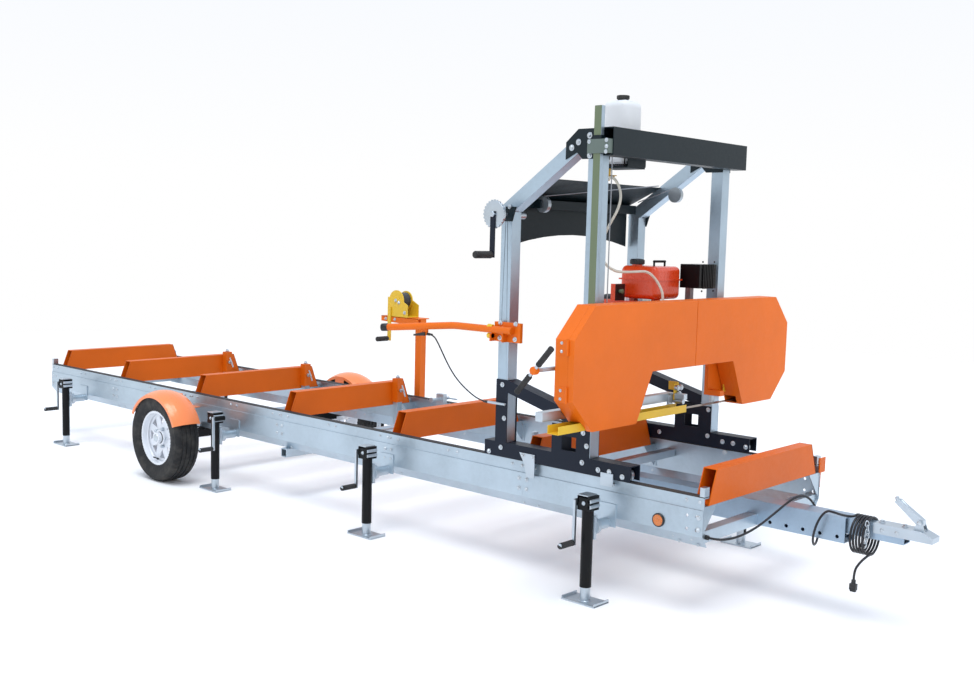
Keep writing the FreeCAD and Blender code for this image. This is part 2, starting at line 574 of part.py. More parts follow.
def running_gear():
    """The axle with its seats and stubs, two fenders, and two wheels with tyres."""
    x = axle_place()
    level = s.tyre_radius
    half = s.axle_side / 2
    beams = [block((x - half, x + half), (-s.axle_reach, s.axle_reach), (level - half, level + half))]
    for side in SIDES:
        beams.append(rod("y", s.stub_radius, s.axle_reach * side, (s.wheel_reach + s.hub_length / 2) * side, x, level))
        beams.append(block((x - s.spring_width, x + s.spring_width),
                           ((s.flange_reach - s.spring_height) * side, s.flange_reach * side),
                           (level + half, s.flange_low)))
    node("axle_beam", *beams)

    fenders = []
    for side in SIDES:
        fenders.append(fender(x, side, level))
        arm = (x - s.spring_width, x + s.spring_width)
        inner = (s.fender_inner - s.gusset_thick) * side
        fenders.append(block(arm, (inner, s.fender_inner * side),
                             (s.web_high - s.fender_skirt, level + s.fender_radius)))
        fenders.append(block(arm, (s.rail_reach * side, inner),
                             (s.web_high - s.fender_skirt, s.web_high - s.fender_skirt + s.gusset_thick)))
    node("fenders", *fenders)

    tread = s.tread_width / 2
    width = s.tyre_width / 2
    bead = s.bead_width / 2
    bore = s.rim_radius + s.running_gap
    cap_share = 0.7
    tyre = [(bore, -bead), (s.bulge_radius, -width), (s.shoulder_radius, -width), (s.tyre_radius, -tread),
            (s.tyre_radius, tread), (s.shoulder_radius, width), (s.bulge_radius, width), (bore, bead)]
    for side, label in zip(SIDES, ("near", "far")):
        y = s.wheel_reach * side
        node(f"{label}_tyre", turned(tyre, x, y, level))
        barrel = [(s.bead_radius, -bead), (s.rim_radius, -bead), (s.rim_radius, bead), (s.bead_radius, bead)]
        vents = []
        vent_share = 0.6
        for index in range(8):
            corners = []
            for angle_share, radius in ((-vent_share, s.vent_outer), (vent_share, s.vent_outer), (0, s.vent_inner)):
                angle = math.tau * (index + angle_share / 2) / 8
                corners.append((radius * math.cos(angle), radius * math.sin(angle)))
            vents.append(corners)
        ring = []
        for index in range(24):
            angle = math.tau * index / 24
            ring.append((s.bead_radius * math.cos(angle), s.bead_radius * math.sin(angle)))
        disc = prism("xz", ring, ZERO, s.disc_thick * side, holes=vents, circles=[(ZERO, ZERO, s.hub_bore)])
        put(disc, x, y + max_side(s.disc_offset, s.disc_thick, side), level)
        hub = pipe("y", s.hub_radius, s.hub_bore, y - s.hub_length / 2, y + s.hub_length / 2, x, level)
        cap_start = y + s.hub_length / 2 * side
        pieces = [weld(turned(barrel, x, y, level), disc, hub),
                  rod("y", s.hub_radius * cap_share, cap_start + s.running_gap * side, cap_start + s.hub_cap * side, x, level)]
        face = y + (s.disc_offset + s.disc_thick) * side
        for index in range(5):
            angle = math.tau * index / 5
            pieces.append(rod("y", s.nut_radius, face, face + s.nut_height * side, x + s.nut_circle * math.cos(angle),
                              level + s.nut_circle * math.sin(angle)))
        node(f"{label}_rim", *pieces)


def max_side(offset, thick, side):
    """The higher y of a plate that starts at an offset on the given side and is padded downwards from there."""
    return (offset + thick) * side if side > 0 else offset * side


def tongue():
    """The drawbar, the coupler on its front end and the coupler's latch."""
    half = s.tongue_side / 2
    beam = square_tube("x", (-s.tongue_rear, s.tongue_front), (-half, half), (s.tongue_low, s.tongue_high),
                       s.tongue_wall)
    holes = [rod("y", s.pin_hole_radius, -half - s.overrun, half + s.overrun,
                 s.pin_hole_first + s.pin_hole_pitch * index, s.pin_hole_level) for index in range(5)]
    slim = s.inner_side / 2
    slim_high = s.tongue_high - s.tongue_wall
    tube = square_tube("x", (s.inner_rear, s.inner_front), (-slim, slim), (slim_high - s.inner_side, slim_high),
                       s.inner_wall)
    node("trailer_tongue", cut(beam, *holes), tube)

    back = s.coupler_back
    front = back + s.coupler_length
    high = s.tongue_high
    nose_end = front - s.coupler_nose + s.coupler_slope
    outline = [(back, s.coupler_low), (back, high), (front - s.coupler_nose, high), (nose_end, high - s.coupler_fall),
               (front, high - s.coupler_fall * 2), (front, s.coupler_low)]
    width = slim + s.coupler_wall
    inside = block((back - s.overrun, s.inner_front + s.overrun), (-slim, slim),
                   (s.coupler_low - s.overrun, slim_high))
    socket = rod("z", s.ball_radius + s.running_gap, s.coupler_low - s.overrun, s.coupler_low + s.ball_radius,
                 front - s.ball_back, ZERO)
    ears = []
    ear = s.latch_width / 2 + s.running_gap
    for side in SIDES:
        points = [(s.latch_x - s.latch_width, high - s.coupler_fall),
                  (s.latch_x + s.latch_width, high - s.coupler_fall),
                  (s.latch_x + s.latch_pin_radius, s.latch_level + s.latch_pin_radius * 2),
                  (s.latch_x - s.latch_pin_radius, s.latch_level + s.latch_pin_radius * 2)]
        ears.append(prism("xz", points, ear * side, (ear + s.gusset_thick) * side))
    ears.append(rod("y", s.latch_pin_radius, -ear, ear, s.latch_x, s.latch_level))
    node("coupler_body", weld(cut(prism("xz", outline, -width, width), inside, socket), *ears))

    reach = s.latch_width / 2
    tip_x = s.latch_x - s.latch_reach
    tip_z = s.latch_level + s.latch_rise
    root_share, deep_share, tip_share = 1.6, 1.4, 0.6
    root, deep = s.latch_thick * root_share, s.latch_thick * deep_share
    lever = [(s.latch_x - root, s.latch_level - deep), (s.latch_x + root, s.latch_level - deep),
             (s.latch_x + root, s.latch_level + deep), (tip_x + s.latch_thick, tip_z + s.latch_thick),
             (tip_x - s.latch_thick, tip_z - s.latch_thick * tip_share)]
    pin = [(s.latch_x, s.latch_level, s.latch_pin_radius + s.running_gap)]
    node("coupler_latch", prism("xz", lever, -reach, reach, circles=pin))


def jacks():
    """Eight side-wind jacks in four stations, each near jack with its twin on the far side."""
    saddle_share, boss_share = 1.4, 2.5
    saddle_high = s.swivel_collar * saddle_share
    for index, x in enumerate(jack_places()):
        number = index + 1
        shells, legs, cranks = [], [], []
        # the second station stands beside the wheel, so its cranks are on the jack's other side
        crank_x = x + s.crank_offset if index == 1 else x - s.crank_offset
        for side in SIDES:
            y = s.jack_reach * side
            half = s.jack_head_side / 2
            tube = pipe("z", s.jack_radius, s.jack_radius - s.jack_wall, s.jack_low, s.jack_head_low, x, y)
            head = cut(block((x - half, x + half), (y - half, y + half), (s.jack_head_low, s.jack_head_high)),
                       rod("z", s.leg_radius + s.running_gap, s.jack_head_low - s.overrun,
                           s.jack_head_low + s.jack_head_side / 3, x, y))
            inner = (s.swivel_outer + s.running_gap) * side
            collar = rod("y", s.swivel_collar, inner, (s.swivel_outer + s.collar_width) * side, x, s.swivel_level)
            saddle = block((x - s.swivel_radius, x + s.swivel_radius),
                           ((s.swivel_outer + s.collar_width) * side, y - (s.jack_radius - s.jack_wall * 3) * side),
                           (s.swivel_level - saddle_high, s.swivel_level + saddle_high))
            saddle = cut(saddle, rod("z", s.jack_radius, s.flange_low / 2, s.jack_head_low, x, y))
            # the crank's shaft stands in a boss on the side of the head
            boss = pipe("y", s.crank_radius * boss_share, s.crank_radius + s.running_gap, y - half * side,
                        y + half * side, crank_x, s.crank_level)
            shells.append(weld(tube, head, collar, saddle, boss))
            leg = rod("z", s.leg_radius, s.foot_thick, s.leg_top, x, y)
            foot = block((x - s.foot_length / 2, x + s.foot_length / 2), (y - s.foot_depth / 2, y + s.foot_depth / 2),
                         (ZERO, s.foot_thick))
            legs.append(weld(leg, foot))
            arm_y = y + (half + s.running_gap) * side
            shaft = rod("y", s.crank_radius, y, arm_y, crank_x, s.crank_level)
            arm = block((crank_x - s.crank_radius, crank_x + s.crank_radius), (arm_y, arm_y + s.crank_radius * 2 * side),
                        (s.crank_level - s.crank_drop, s.crank_level + s.crank_radius * 2))
            grip_start = arm_y + s.crank_radius * 2 * side
            grip = rod("y", s.grip_radius, grip_start, grip_start + s.grip_length * side, crank_x,
                       s.crank_level - s.crank_drop + s.grip_radius)
            cranks.append(weld(shaft, arm, grip))
        node(f"jack_housing_{number}", *shells)
        node(f"jack_leg_{number}", *legs)
        node(f"jack_crank_{number}", *cranks)


def log_handling():
    """Sliding side supports on the far side, a log clamp on a cross tube, and the loading winch on its post."""
    half = s.support_side / 2 + s.sleeve_gap
    outer = half + s.sleeve_sheet
    top = s.sleeve_raised
    low = top - s.sleeve_height
    for index, x in enumerate(support_places()):
        sleeve = cut(block((x - outer, x + outer), (s.support_y - outer, s.support_y + outer), (low, top)),
                     block((x - half, x + half), (s.support_y - half, s.support_y + half),
                           (low - s.overrun, top - s.sleeve_sheet)))
        back = s.support_y + outer
        web = [(back, top - s.support_plate), (back, top - s.gusset_rise), (back + s.gusset_run, top - s.gusset_rise)]
        node(f"log_support_{index + 1}",
             weld(sleeve, prism("yz", web, x - s.support_plate / 2, x + s.support_plate / 2)))

    x = (seam(2) + seam(3)) / 2
    ring = s.tube_radius + s.running_gap
    body = block((x - s.clamp_bar, x + s.clamp_bar), (s.clamp_y - s.clamp_bar / 2, s.clamp_y + s.clamp_bar / 2),
                 (s.tube_level - s.clamp_bar, s.clamp_high))
    body = cut(body, rod("y", ring, s.clamp_y - s.clamp_bar, s.clamp_y + s.clamp_bar, x, s.tube_level))
    screw = rod("y", s.clamp_screw, s.clamp_y - s.clamp_pad, s.clamp_y + s.clamp_bar * 2, x, s.clamp_high - s.clamp_bar)
    pad = rod("y", s.clamp_bar / 2, s.clamp_y - s.clamp_pad - s.dog_thick, s.clamp_y - s.clamp_pad, x,
              s.clamp_high - s.clamp_bar)
    handle = rod("x", s.clamp_screw / 2, x - s.clamp_pad, x + s.clamp_pad, s.clamp_y + s.clamp_bar * 2 - s.clamp_screw,
                 s.clamp_high - s.clamp_bar)
    node("log_clamp", weld(body, screw, pad, handle))

    x = seam(3) + s.winch_offset
    post = s.winch_post / 2
    y = s.winch_reach
    plate_width = s.winch_plate_width / 2
    rear = x + post - s.winch_plate
    node("winch_post",
         square_tube("z", (x - post, x + post), (y - post, y + post), (s.flange_low, s.winch_high), s.sheet),
         block((rear, x + post), (y - plate_width, y + plate_width),
               (s.winch_high, s.winch_high + s.winch_plate_thick)))
    base = s.winch_high + s.winch_plate_thick
    middle = rear + s.winch_middle
    shaft_z = base + s.winch_shaft_rise
    pinion_x = middle - s.winch_mesh_x
    pinion_z = shaft_z - s.winch_mesh_z
    gap = s.winch_inside / 2
    cheeks = []
    for side in SIDES:
        outline = [(middle - s.winch_cheek_rear, base), (middle + s.winch_cheek_front, base),
                   (middle + s.winch_cheek_front, base + s.winch_cheek_step),
                   (middle + s.winch_cheek_top, base + s.winch_cheek_high),
                   (middle - s.winch_cheek_rear, base + s.winch_cheek_high)]
        circles = [(pinion_x, pinion_z, s.winch_shaft_radius + s.running_gap)]
        cheeks.append(prism("xz", outline, y + gap * side, y + (gap + s.winch_cheek) * side, circles=circles))
    cheeks.append(block((middle - s.winch_cheek_rear, middle + s.winch_cheek_front), (y - gap, y + gap),
                        (base, base + s.winch_cheek)))
    cheeks.append(rod("y", s.winch_shaft_radius, y - gap, y + gap, middle, shaft_z))
    node("winch_frame", weld(*cheeks))
    run = gap - s.running_gap
    core = s.winch_shaft_radius + s.running_gap
    gear_low = -run + s.winch_gear_thick
    drum = [(core, -run), (s.winch_gear_radius, -run), (s.winch_gear_radius, gear_low), (s.strap_radius, gear_low),
            (s.strap_radius, run - s.winch_gear_thick), (s.winch_flange_radius, run - s.winch_gear_thick),
            (s.winch_flange_radius, run), (core, run)]
    node("winch_drum", turned(drum, middle, y, shaft_z))
    start = y - gap - s.winch_cheek - s.running_gap
    shaft = rod("y", s.winch_shaft_radius, start, y + gap + s.winch_cheek, pinion_x, pinion_z)
    arm = block((pinion_x - s.pinion_radius, pinion_x + s.pinion_radius), (start - s.winch_cheek * 2, start),
                (pinion_z - s.winch_arm, pinion_z + s.pinion_radius))
    grip = rod("y", s.pinion_radius, start - s.winch_cheek * 2 - s.winch_grip, start - s.winch_cheek * 2, pinion_x,
               pinion_z - s.winch_arm + s.pinion_radius)
    node("winch_crank", weld(shaft, arm, grip))


def carriage():
    """Side frames with their struts and keepers, the four posts with the scale mast, and the rollers."""
    t = s.plate
    high = s.frame_high
    strut_rear = (-s.rear_plate_end, s.rear_plate_high)
    strut_front = (-s.front_post_x, s.strut_top_front)
    hook_share = 0.3
    frames = []
    for side in SIDES:
        outer = s.frame_outer * side
        inner = s.frame_inner * side
        for face in ((outer, outer - t * side), (inner, inner + t * side)):
            beam = [(-s.frame_rear, s.frame_low), (-s.frame_front, s.frame_low), (-s.frame_front, high),
                    (-s.front_plate_end, high), (-s.front_plate_end, s.front_plate_high),
                    (-s.front_plate_start, s.front_plate_high), (-s.front_plate_start, high),
                    (-s.rear_plate_end, high), (-s.rear_plate_end, s.rear_plate_high),
                    (-s.rear_plate_start, s.rear_plate_high), (-s.rear_plate_start, high), (-s.frame_rear, high)]
            window = [(-s.window_start, s.window_low), (-s.window_end, s.window_low), (-s.window_end, s.window_high),
                      (-s.window_start, s.window_high)]
            strut = [strut_rear, strut_front, (strut_front[0], strut_front[1] - s.strut_depth),
                     (strut_rear[0], strut_rear[1] - s.strut_depth)]
            frames.append(weld(prism("xz", beam, *face, holes=[window]), prism("xz", strut, *face)))
        web = (inner + t * side, outer - t * side)
        frames.append(block((-s.frame_rear, -s.frame_front), web, (high - t, high)))
        cover = [strut_rear, strut_front, (strut_front[0], strut_front[1] - t), (strut_rear[0], strut_rear[1] - t)]
        frames.append(prism("xz", cover, *web))
        for x in (-s.roller_rear_x, -s.roller_front_x):
            frames.append(rod("y", s.roller_pin_radius, *web, x, s.rail_top + s.strip_thick + s.roller_radius))
        keeper = (outer, outer + s.keeper_thick * side)
        half = s.keeper_width / 2
        outline = [(-s.keeper_x - half, s.keeper_high), (-s.keeper_x + half, s.keeper_high),
                   (-s.keeper_x + half, s.keeper_low), (-s.keeper_x, s.keeper_low),
                   (-s.keeper_x - half * hook_share, s.rail_top - s.strip_thick)]
        frames.append(prism("xz", outline, *keeper))
        half = s.keeper_front_width / 2
        frames.append(block((-s.keeper_front_x - half, -s.keeper_front_x + half), keeper,
                            (s.keeper_front_low, s.keeper_front_high)))
    node("carriage_frames", *frames)

    posts = []
    for side in SIDES:
        web = ((s.frame_inner + t) * side, (s.frame_outer - t) * side)
        rear = square_tube("z", (-s.rear_post_x, -s.rear_post_x + s.post_side), web, (high, s.rear_post_high),
                           s.post_wall)
        if side < 0:
            rear = cut(rear, rod("y", s.shaft_radius + s.axle_clear, web[0] + s.overrun, web[1] - s.overrun,
                                 -s.crank_shaft_x, s.crank_shaft_level))
        posts.append(rear)
        posts.append(square_tube("z", (-s.front_post_x, -s.front_post_x + s.post_side), web,
                                 (high, s.front_post_high), s.post_wall))
        outline = [(-s.rear_post_x, s.rear_post_high), (-s.rear_post_x + s.brace_foot, s.rear_post_high),
                   (-s.front_post_x, s.brace_low_end), (-s.front_post_x, s.corner_high - s.brace_trim),
                   (-s.front_post_x - s.brace_nose, s.corner_high - s.brace_trim),
                   (-s.rear_post_x, s.rear_post_high + s.brace_heel)]
        posts.append(prism("xz", outline, *web))
    near = -s.frame_outer - s.mast_gap
    posts.append(block((-s.mast_x, -s.mast_x + s.mast_width), (near - s.mast_depth, near - s.mast_depth + s.mast_wall),
                       (s.mast_low, s.mast_high)))
    for x in (-s.mast_x, -s.mast_x + s.mast_width - s.mast_wall):
        posts.append(block((x, x + s.mast_wall), (near - s.mast_depth + s.mast_wall, near), (s.mast_low, s.mast_high)))
    for z in (s.mast_low, s.corner_low - s.mast_width * 2):
        posts.append(block((-s.front_post_x + s.mast_width, -s.mast_x + s.mast_width),
                           (near, -s.frame_outer + t), (z, z + s.mast_width)))
    node("carriage_posts", *posts)

    half = s.roller_width / 2
    bore = s.roller_pin_radius + s.running_gap
    outline = [(bore, -half), (s.roller_radius - s.roller_rest, -half), (s.roller_radius - s.roller_rest, half),
               (bore, half)]
    level = s.rail_top + s.strip_thick + s.roller_radius
    for label, x in (("front", -s.roller_front_x), ("rear", -s.roller_rear_x)):
        node(f"{label}_rollers", *both(lambda side: turned(outline, x, s.roller_reach * side, level)))


def top_frame():
    """The front beam and its corner plates, the rear bar with hood and curtain, the tank shelf and the pulleys."""
    t = s.plate
    cut_share, ear_share = 1.2, 1.4
    pieces = [square_tube("y", (-s.front_post_x + s.post_side, -s.beam_front), (-s.frame_outer, s.beam_reach),
                          (s.beam_low, s.beam_high), t)]
    bar = (-s.rear_post_x, -s.rear_post_x + s.bar_depth)
    inner = s.frame_inner + t
    bar_low = s.crank_shaft_level + s.spool_radius + s.bar_gap
    pieces.append(square_tube("y", bar, (-inner, inner), (bar_low, bar_low + s.bar_depth), t))
    for side in SIDES:
        for face in ((s.frame_outer * side, (s.frame_outer - t) * side), (s.frame_inner * side, inner * side)):
            outline = [(-s.corner_rear, s.corner_low), (-s.corner_rear, s.corner_high - s.corner_cut),
                       (-s.corner_rear + s.corner_cut * cut_share, s.corner_high),
                       (-s.front_post_x + s.post_side, s.corner_high), (-s.front_post_x + s.post_side, s.corner_low),
                       (-s.front_post_x - s.corner_notch, s.corner_low),
                       (-s.front_post_x - s.corner_notch * 2, s.corner_low + s.corner_notch)]
            pieces.append(prism("xz", outline, *face))
        outer = (s.frame_outer * side, (s.frame_outer - t) * side)
        outline = [(-s.rear_post_x - t, bar_low - s.bar_drop),
                   (-s.rear_post_x + s.post_side + t, bar_low - s.bar_drop),
                   (-s.rear_post_x + s.post_side * ear_share, bar_low + t), (-s.rear_post_x - t, bar_low + t)]
        hole = [(-s.crank_shaft_x, s.crank_shaft_level, s.shaft_radius + s.axle_clear)]
        pieces.append(prism("xz", outline, *outer, circles=hole))
    roof_low = (bar[0], bar_low + s.bar_depth)
    roof_high = (-s.hood_front, s.hood_high)
    outline = [roof_low, roof_high, (roof_high[0], roof_high[1] + s.hood_thick),
               (roof_low[0], roof_low[1] + s.hood_thick)]
    pieces.append(prism("xz", outline, -inner, inner))
    arch = []
    for index in range(9):
        share = index / 4 - 1
        arch.append((s.hood_reach * share, s.curtain_low + s.curtain_arch * (1 - share * share)))
    curtain = arch + [(s.hood_reach, bar_low + s.bar_depth), (-s.hood_reach, bar_low + s.bar_depth)]
    pieces.append(prism("yz", curtain, bar[0] - s.hood_thick, bar[0]))
    shelf = (s.tank_low - s.cage_wire, s.tank_low)
    rear = -s.tank_x - s.tank_depth
    tray = block((rear, -s.front_post_x + s.post_side), (-s.tank_near, -s.tank_near + s.tank_width), shelf)
    valve = (rear + s.valve_inset, -s.tank_near + s.valve_y)
    valve_hole = rod("z", s.valve_radius + s.axle_clear, s.tank_low - s.cage_wire * 2, s.tank_low + s.cage_wire,
                     *valve)
    pieces.append(cut(tray, valve_hole))
    pieces.append(block((-s.front_post_x + s.post_side, -s.front_post_x + s.post_side + t),
                        (-s.tank_near, -s.tank_near + s.tank_width), (s.tank_low, s.beam_low)))
    pieces.append(block((rear - s.cage_wire - s.cage_gap, rear - s.cage_gap),
                        (-s.tank_near, -s.tank_near + s.tank_width),
                        (s.tank_low - s.cage_wire, s.tank_low + s.cage_rise)))
    y = -s.near_pulley_y
    centre = bar[1] + s.pulley_radius + s.bar_gap / 2
    pieces.append(block((bar[1], centre), (y - s.pulley_width, y - s.pulley_width / 2),
                        (bar_low + t, bar_low + s.bar_depth)))
    pieces.append(rod("y", s.pulley_radius, y - s.pulley_width / 2, y + s.pulley_width / 2, centre,
                      bar_low + s.bar_depth / 2))
    pieces.append(rod("y", s.pulley_radius, inner - s.pulley_width, inner, -s.far_pulley_x, s.far_pulley_level))
    near = -s.frame_outer - s.mast_gap - s.mast_depth
    gap = s.running_gap
    clip = s.mast_wall
    left, right = -s.mast_x - gap, -s.mast_x + s.mast_width + gap
    middle = (s.beam_low + s.beam_high) / 2
    pieces.append(block((left - clip, right + clip), (near - gap - clip, near - gap),
                        (middle - s.clip_half, middle + s.clip_half)))
    for x in ((left - clip, left), (right, right + clip)):
        pieces.append(block(x, (near - gap, -s.frame_outer), (middle - s.clip_half, middle + s.clip_half)))
    node("top_frame", *pieces)

    tank = doc.addObject("PartDesign::Body", "Tank")
    sketch = sketch_on(tank, "xy")
    near, far = -s.tank_near, -s.tank_near + s.tank_width
    front = -s.tank_x
    draw_loop(sketch, [(rear, near), (front, near), (front, far), (rear, far)])
    pad = tank.newObject("PartDesign::Pad", "Pad")
    pad.Profile = sketch
    bind(pad, "Length", s.tank_height)
    doc.recompute()
    rounds = tank.newObject("PartDesign::Fillet", "Round")
    rounds.Base = (pad, [f"Edge{number + 1}" for number in range(len(pad.Shape.Edges))])
    bind(rounds, "Radius", s.tank_round)
    put(tank, ZERO, ZERO, s.tank_low)
    x, y = (rear + front) / 2, (near + far) / 2
    tank_high = s.tank_low + s.tank_height
    neck_top = tank_high + s.tank_neck
    node("water_tank", weld(tank, rod("z", s.tank_neck_radius, tank_high - s.tank_round, neck_top, x, y)),
         rod("z", s.tank_cap_radius, neck_top, neck_top + s.tank_cap, x, y),
         rod("z", s.valve_radius, s.tank_low - s.valve_drop, s.tank_low, *valve))


def height_crank():
    """The shaft through the near rear post, with its spool, toothed dial, arm and grip."""
    x, z = -s.crank_shaft_x, s.crank_shaft_level
    face = -s.dial_y
    shaft = rod("y", s.shaft_radius, face - s.dial_thick, -s.frame_inner + s.spool_width, x, z)
    spool = rod("y", s.spool_radius, -s.frame_inner + s.running_gap, -s.frame_inner + s.spool_width, x, z)
    holes = []
    for index in range(24):
        angle = math.tau * index / 24
        holes.append((s.dial_circle * math.cos(angle), s.dial_circle * math.sin(angle), s.dial_hole))
    ring = [(s.dial_radius * math.cos(math.tau * step / 48), s.dial_radius * math.sin(math.tau * step / 48))
            for step in range(48)]
    dial = put(prism("xz", ring, ZERO, s.dial_thick, circles=holes), x, face + s.dial_thick, z)
    arm_y = (face - s.dial_thick - s.arm_thick, face - s.dial_thick)
    arm = block((x - s.arm_width / 2, x + s.arm_width / 2), arm_y, (z - s.wheel_arm, z + s.arm_width / 2))
    grip = rod("y", s.arm_width / 2, arm_y[0] - s.wheel_grip, arm_y[0], x, z - s.wheel_arm + s.arm_width / 2)
    node("height_crank", weld(shaft, spool, dial, arm, grip))


THROTTLE_ROUTE = [
    (-1508, -616, 1062), (-1468, -616, 1062), (-1436, -616, 1028), (-1400, -613, 972), (-1362, -607, 912),
    (-1318, -598, 858), (-1266, -580, 810), (-1212, -552, 768), (-1160, -552, 768),
]


def push_handle():
    """The bent push bar on the near rear post, and the throttle cable that hangs from its lever."""
    y = -s.handle_near
    path, radii = bent_path([(-s.handle_front.value, y.value, s.handle_level.value),
                             (-s.handle_straight.value, y.value, s.handle_level.value),
                             (-s.handle_end.value, -s.handle_end_y.value, s.handle_end_level.value)],
                            s.handle_bend.value)
    bar = feature(sweep_round(path, s.handle_radius.value))
    face = -s.frame_outer + s.plate
    clasp_span = (-s.rear_post_x - s.clasp_rear, -s.rear_post_x + s.clasp_front)
    clasp = block(clasp_span, (y + s.handle_radius, face), (s.clasp_low, s.clasp_high))
    lugs = [block((x, x + s.clasp_thick), (y - s.handle_radius, y + s.handle_radius),
                  (s.clasp_low, s.handle_level - s.handle_radius))
            for x in (clasp_span[0], -s.rear_post_x + s.post_side)]
    # the cable runs from a block under the throttle lever to a socket on the rear upright
    lever_x, lever_y, lever_z = (Size(value, str(value)) for value in THROTTLE_ROUTE[0])
    mount = block((lever_x - s.lever_block, lever_x), (lever_y - s.clasp_thick, lever_y + s.clasp_thick),
                  (lever_z - s.clasp_thick, lever_z + s.lever_rise))
    socket_x, socket_y, socket_z = (Size(value, str(value)) for value in THROTTLE_ROUTE[-1])
    socket = rod("x", s.clasp_thick, socket_x, -s.rear_plate_end, socket_y, socket_z)
    foot = block((-s.rear_post_x, -s.rear_plate_end - s.clasp_thick), (socket_y, -s.frame_outer),
                 (socket_z - s.clasp_thick / 2, socket_z + s.clasp_thick / 2))
    side_y = lever_y - s.clasp_thick
    pivot_x = lever_x - s.lever_block / 2
    mount = cut(weld(bar, mount), rod("y", s.lever_pin + s.running_gap, side_y - s.overrun, side_y + s.clasp_thick,
                                      pivot_x, lever_z))
    node("push_handle", mount, clasp, *lugs, weld(socket, foot))
    half = s.lever_pin * 2
    pin_share = 0.8
    tip_x = pivot_x - s.lever_length
    tip_z = lever_z - s.lever_drop
    outline = [(pivot_x + half, lever_z - half), (pivot_x + half, lever_z + half), (pivot_x - half, lever_z + half),
               (tip_x, tip_z + half), (tip_x, tip_z)]
    paddle = prism("xz", outline, side_y - s.running_gap - s.clasp_thick, side_y - s.running_gap)
    node("throttle_lever", weld(paddle, rod("y", s.lever_pin, side_y - s.running_gap, side_y + s.clasp_thick * pin_share,
                                            pivot_x, lever_z)))
    path, radii = bent_path(THROTTLE_ROUTE)
    cable = sweep_round(path, s.throttle_radius.value)
    report_cord("throttle_cable", path, radii, cable, s.throttle_radius.value)
    node("throttle_cable", feature(cable))


def report_cord(name, path, radii, solid, radius):
    """Prints a cord's length, its tightest radius, and how its volume compares with section times length."""
    ratio = solid.Volume / (math.pi * radius * radius * path.Length)
    print(f"{name}: length {path.Length:.0f} mm, tightest radius {min(radii):.0f} mm, volume ratio {ratio:.4f}")


def guard_outline(low_y, high_y):
    """The guard's outline between two y values, each of which is its own end or the split between the doors."""
    near = [(-s.guard_top_reach, s.guard_top), (-s.guard_reach, s.guard_shoulder), (-s.guard_reach, s.guard_waist),
            (-s.guard_foot_reach, s.guard_low), (-s.throat_near_low, s.guard_low), (-s.throat_near, s.throat_high)]
    far = [(s.throat_far, s.throat_high), (s.throat_far_low, s.guard_low), (s.guard_foot_reach, s.guard_low),
           (s.guard_reach, s.guard_waist), (s.guard_reach, s.guard_shoulder), (s.guard_top_reach, s.guard_top)]
    if low_y is not None:
        return [(low_y, s.guard_top), (low_y, s.throat_high)] + far
    if high_y is not None:
        return near + [(high_y, s.throat_high), (high_y, s.guard_top)]
    return near + far


def guards():
    """The rear shell of the blade guard and its two hinged doors."""
    wall = s.guard_wall
    shell = hollow(prism("yz", guard_outline(None, None), -s.guard_back, -s.guard_seam), "x", 1, wall)
    slots = [block((-s.guard_back + wall, -s.guard_seam + s.overrun), (-s.cover_near, -s.throat_near - s.overrun),
                   (s.guard_low - s.overrun, s.cover_high + s.running_gap * 4)),
             block((-s.guard_back + wall, -s.guard_seam + s.overrun), (s.throat_far, s.throat_far_low + s.overrun),
                   (s.guard_low + wall * 2, s.cover_high))]
    for side in SIDES:
        slots.append(rod("x", s.axle_radius * 2, -s.guard_back - s.overrun, -s.guard_back + s.overrun,
                         s.band_y * side, s.band_level))
    hinges = []
    for side in SIDES:
        for low in (s.hinge_low, s.hinge_high):
            hinges.append(rod("z", s.hinge_radius, low, low + s.hinge_length, -s.guard_seam,
                              (s.guard_reach + s.hinge_radius) * side))
    node("guard_shell", cut(shell, *slots), *hinges)
    edge = s.door_split_gap / 2
    face = (-s.guard_seam + s.door_gap, -s.guard_front)
    node("left_door", hollow(prism("yz", guard_outline(None, s.door_split - edge), *face), "x", -1, wall))
    node("right_door", hollow(prism("yz", guard_outline(s.door_split + edge, None), *face), "x", -1, wall))


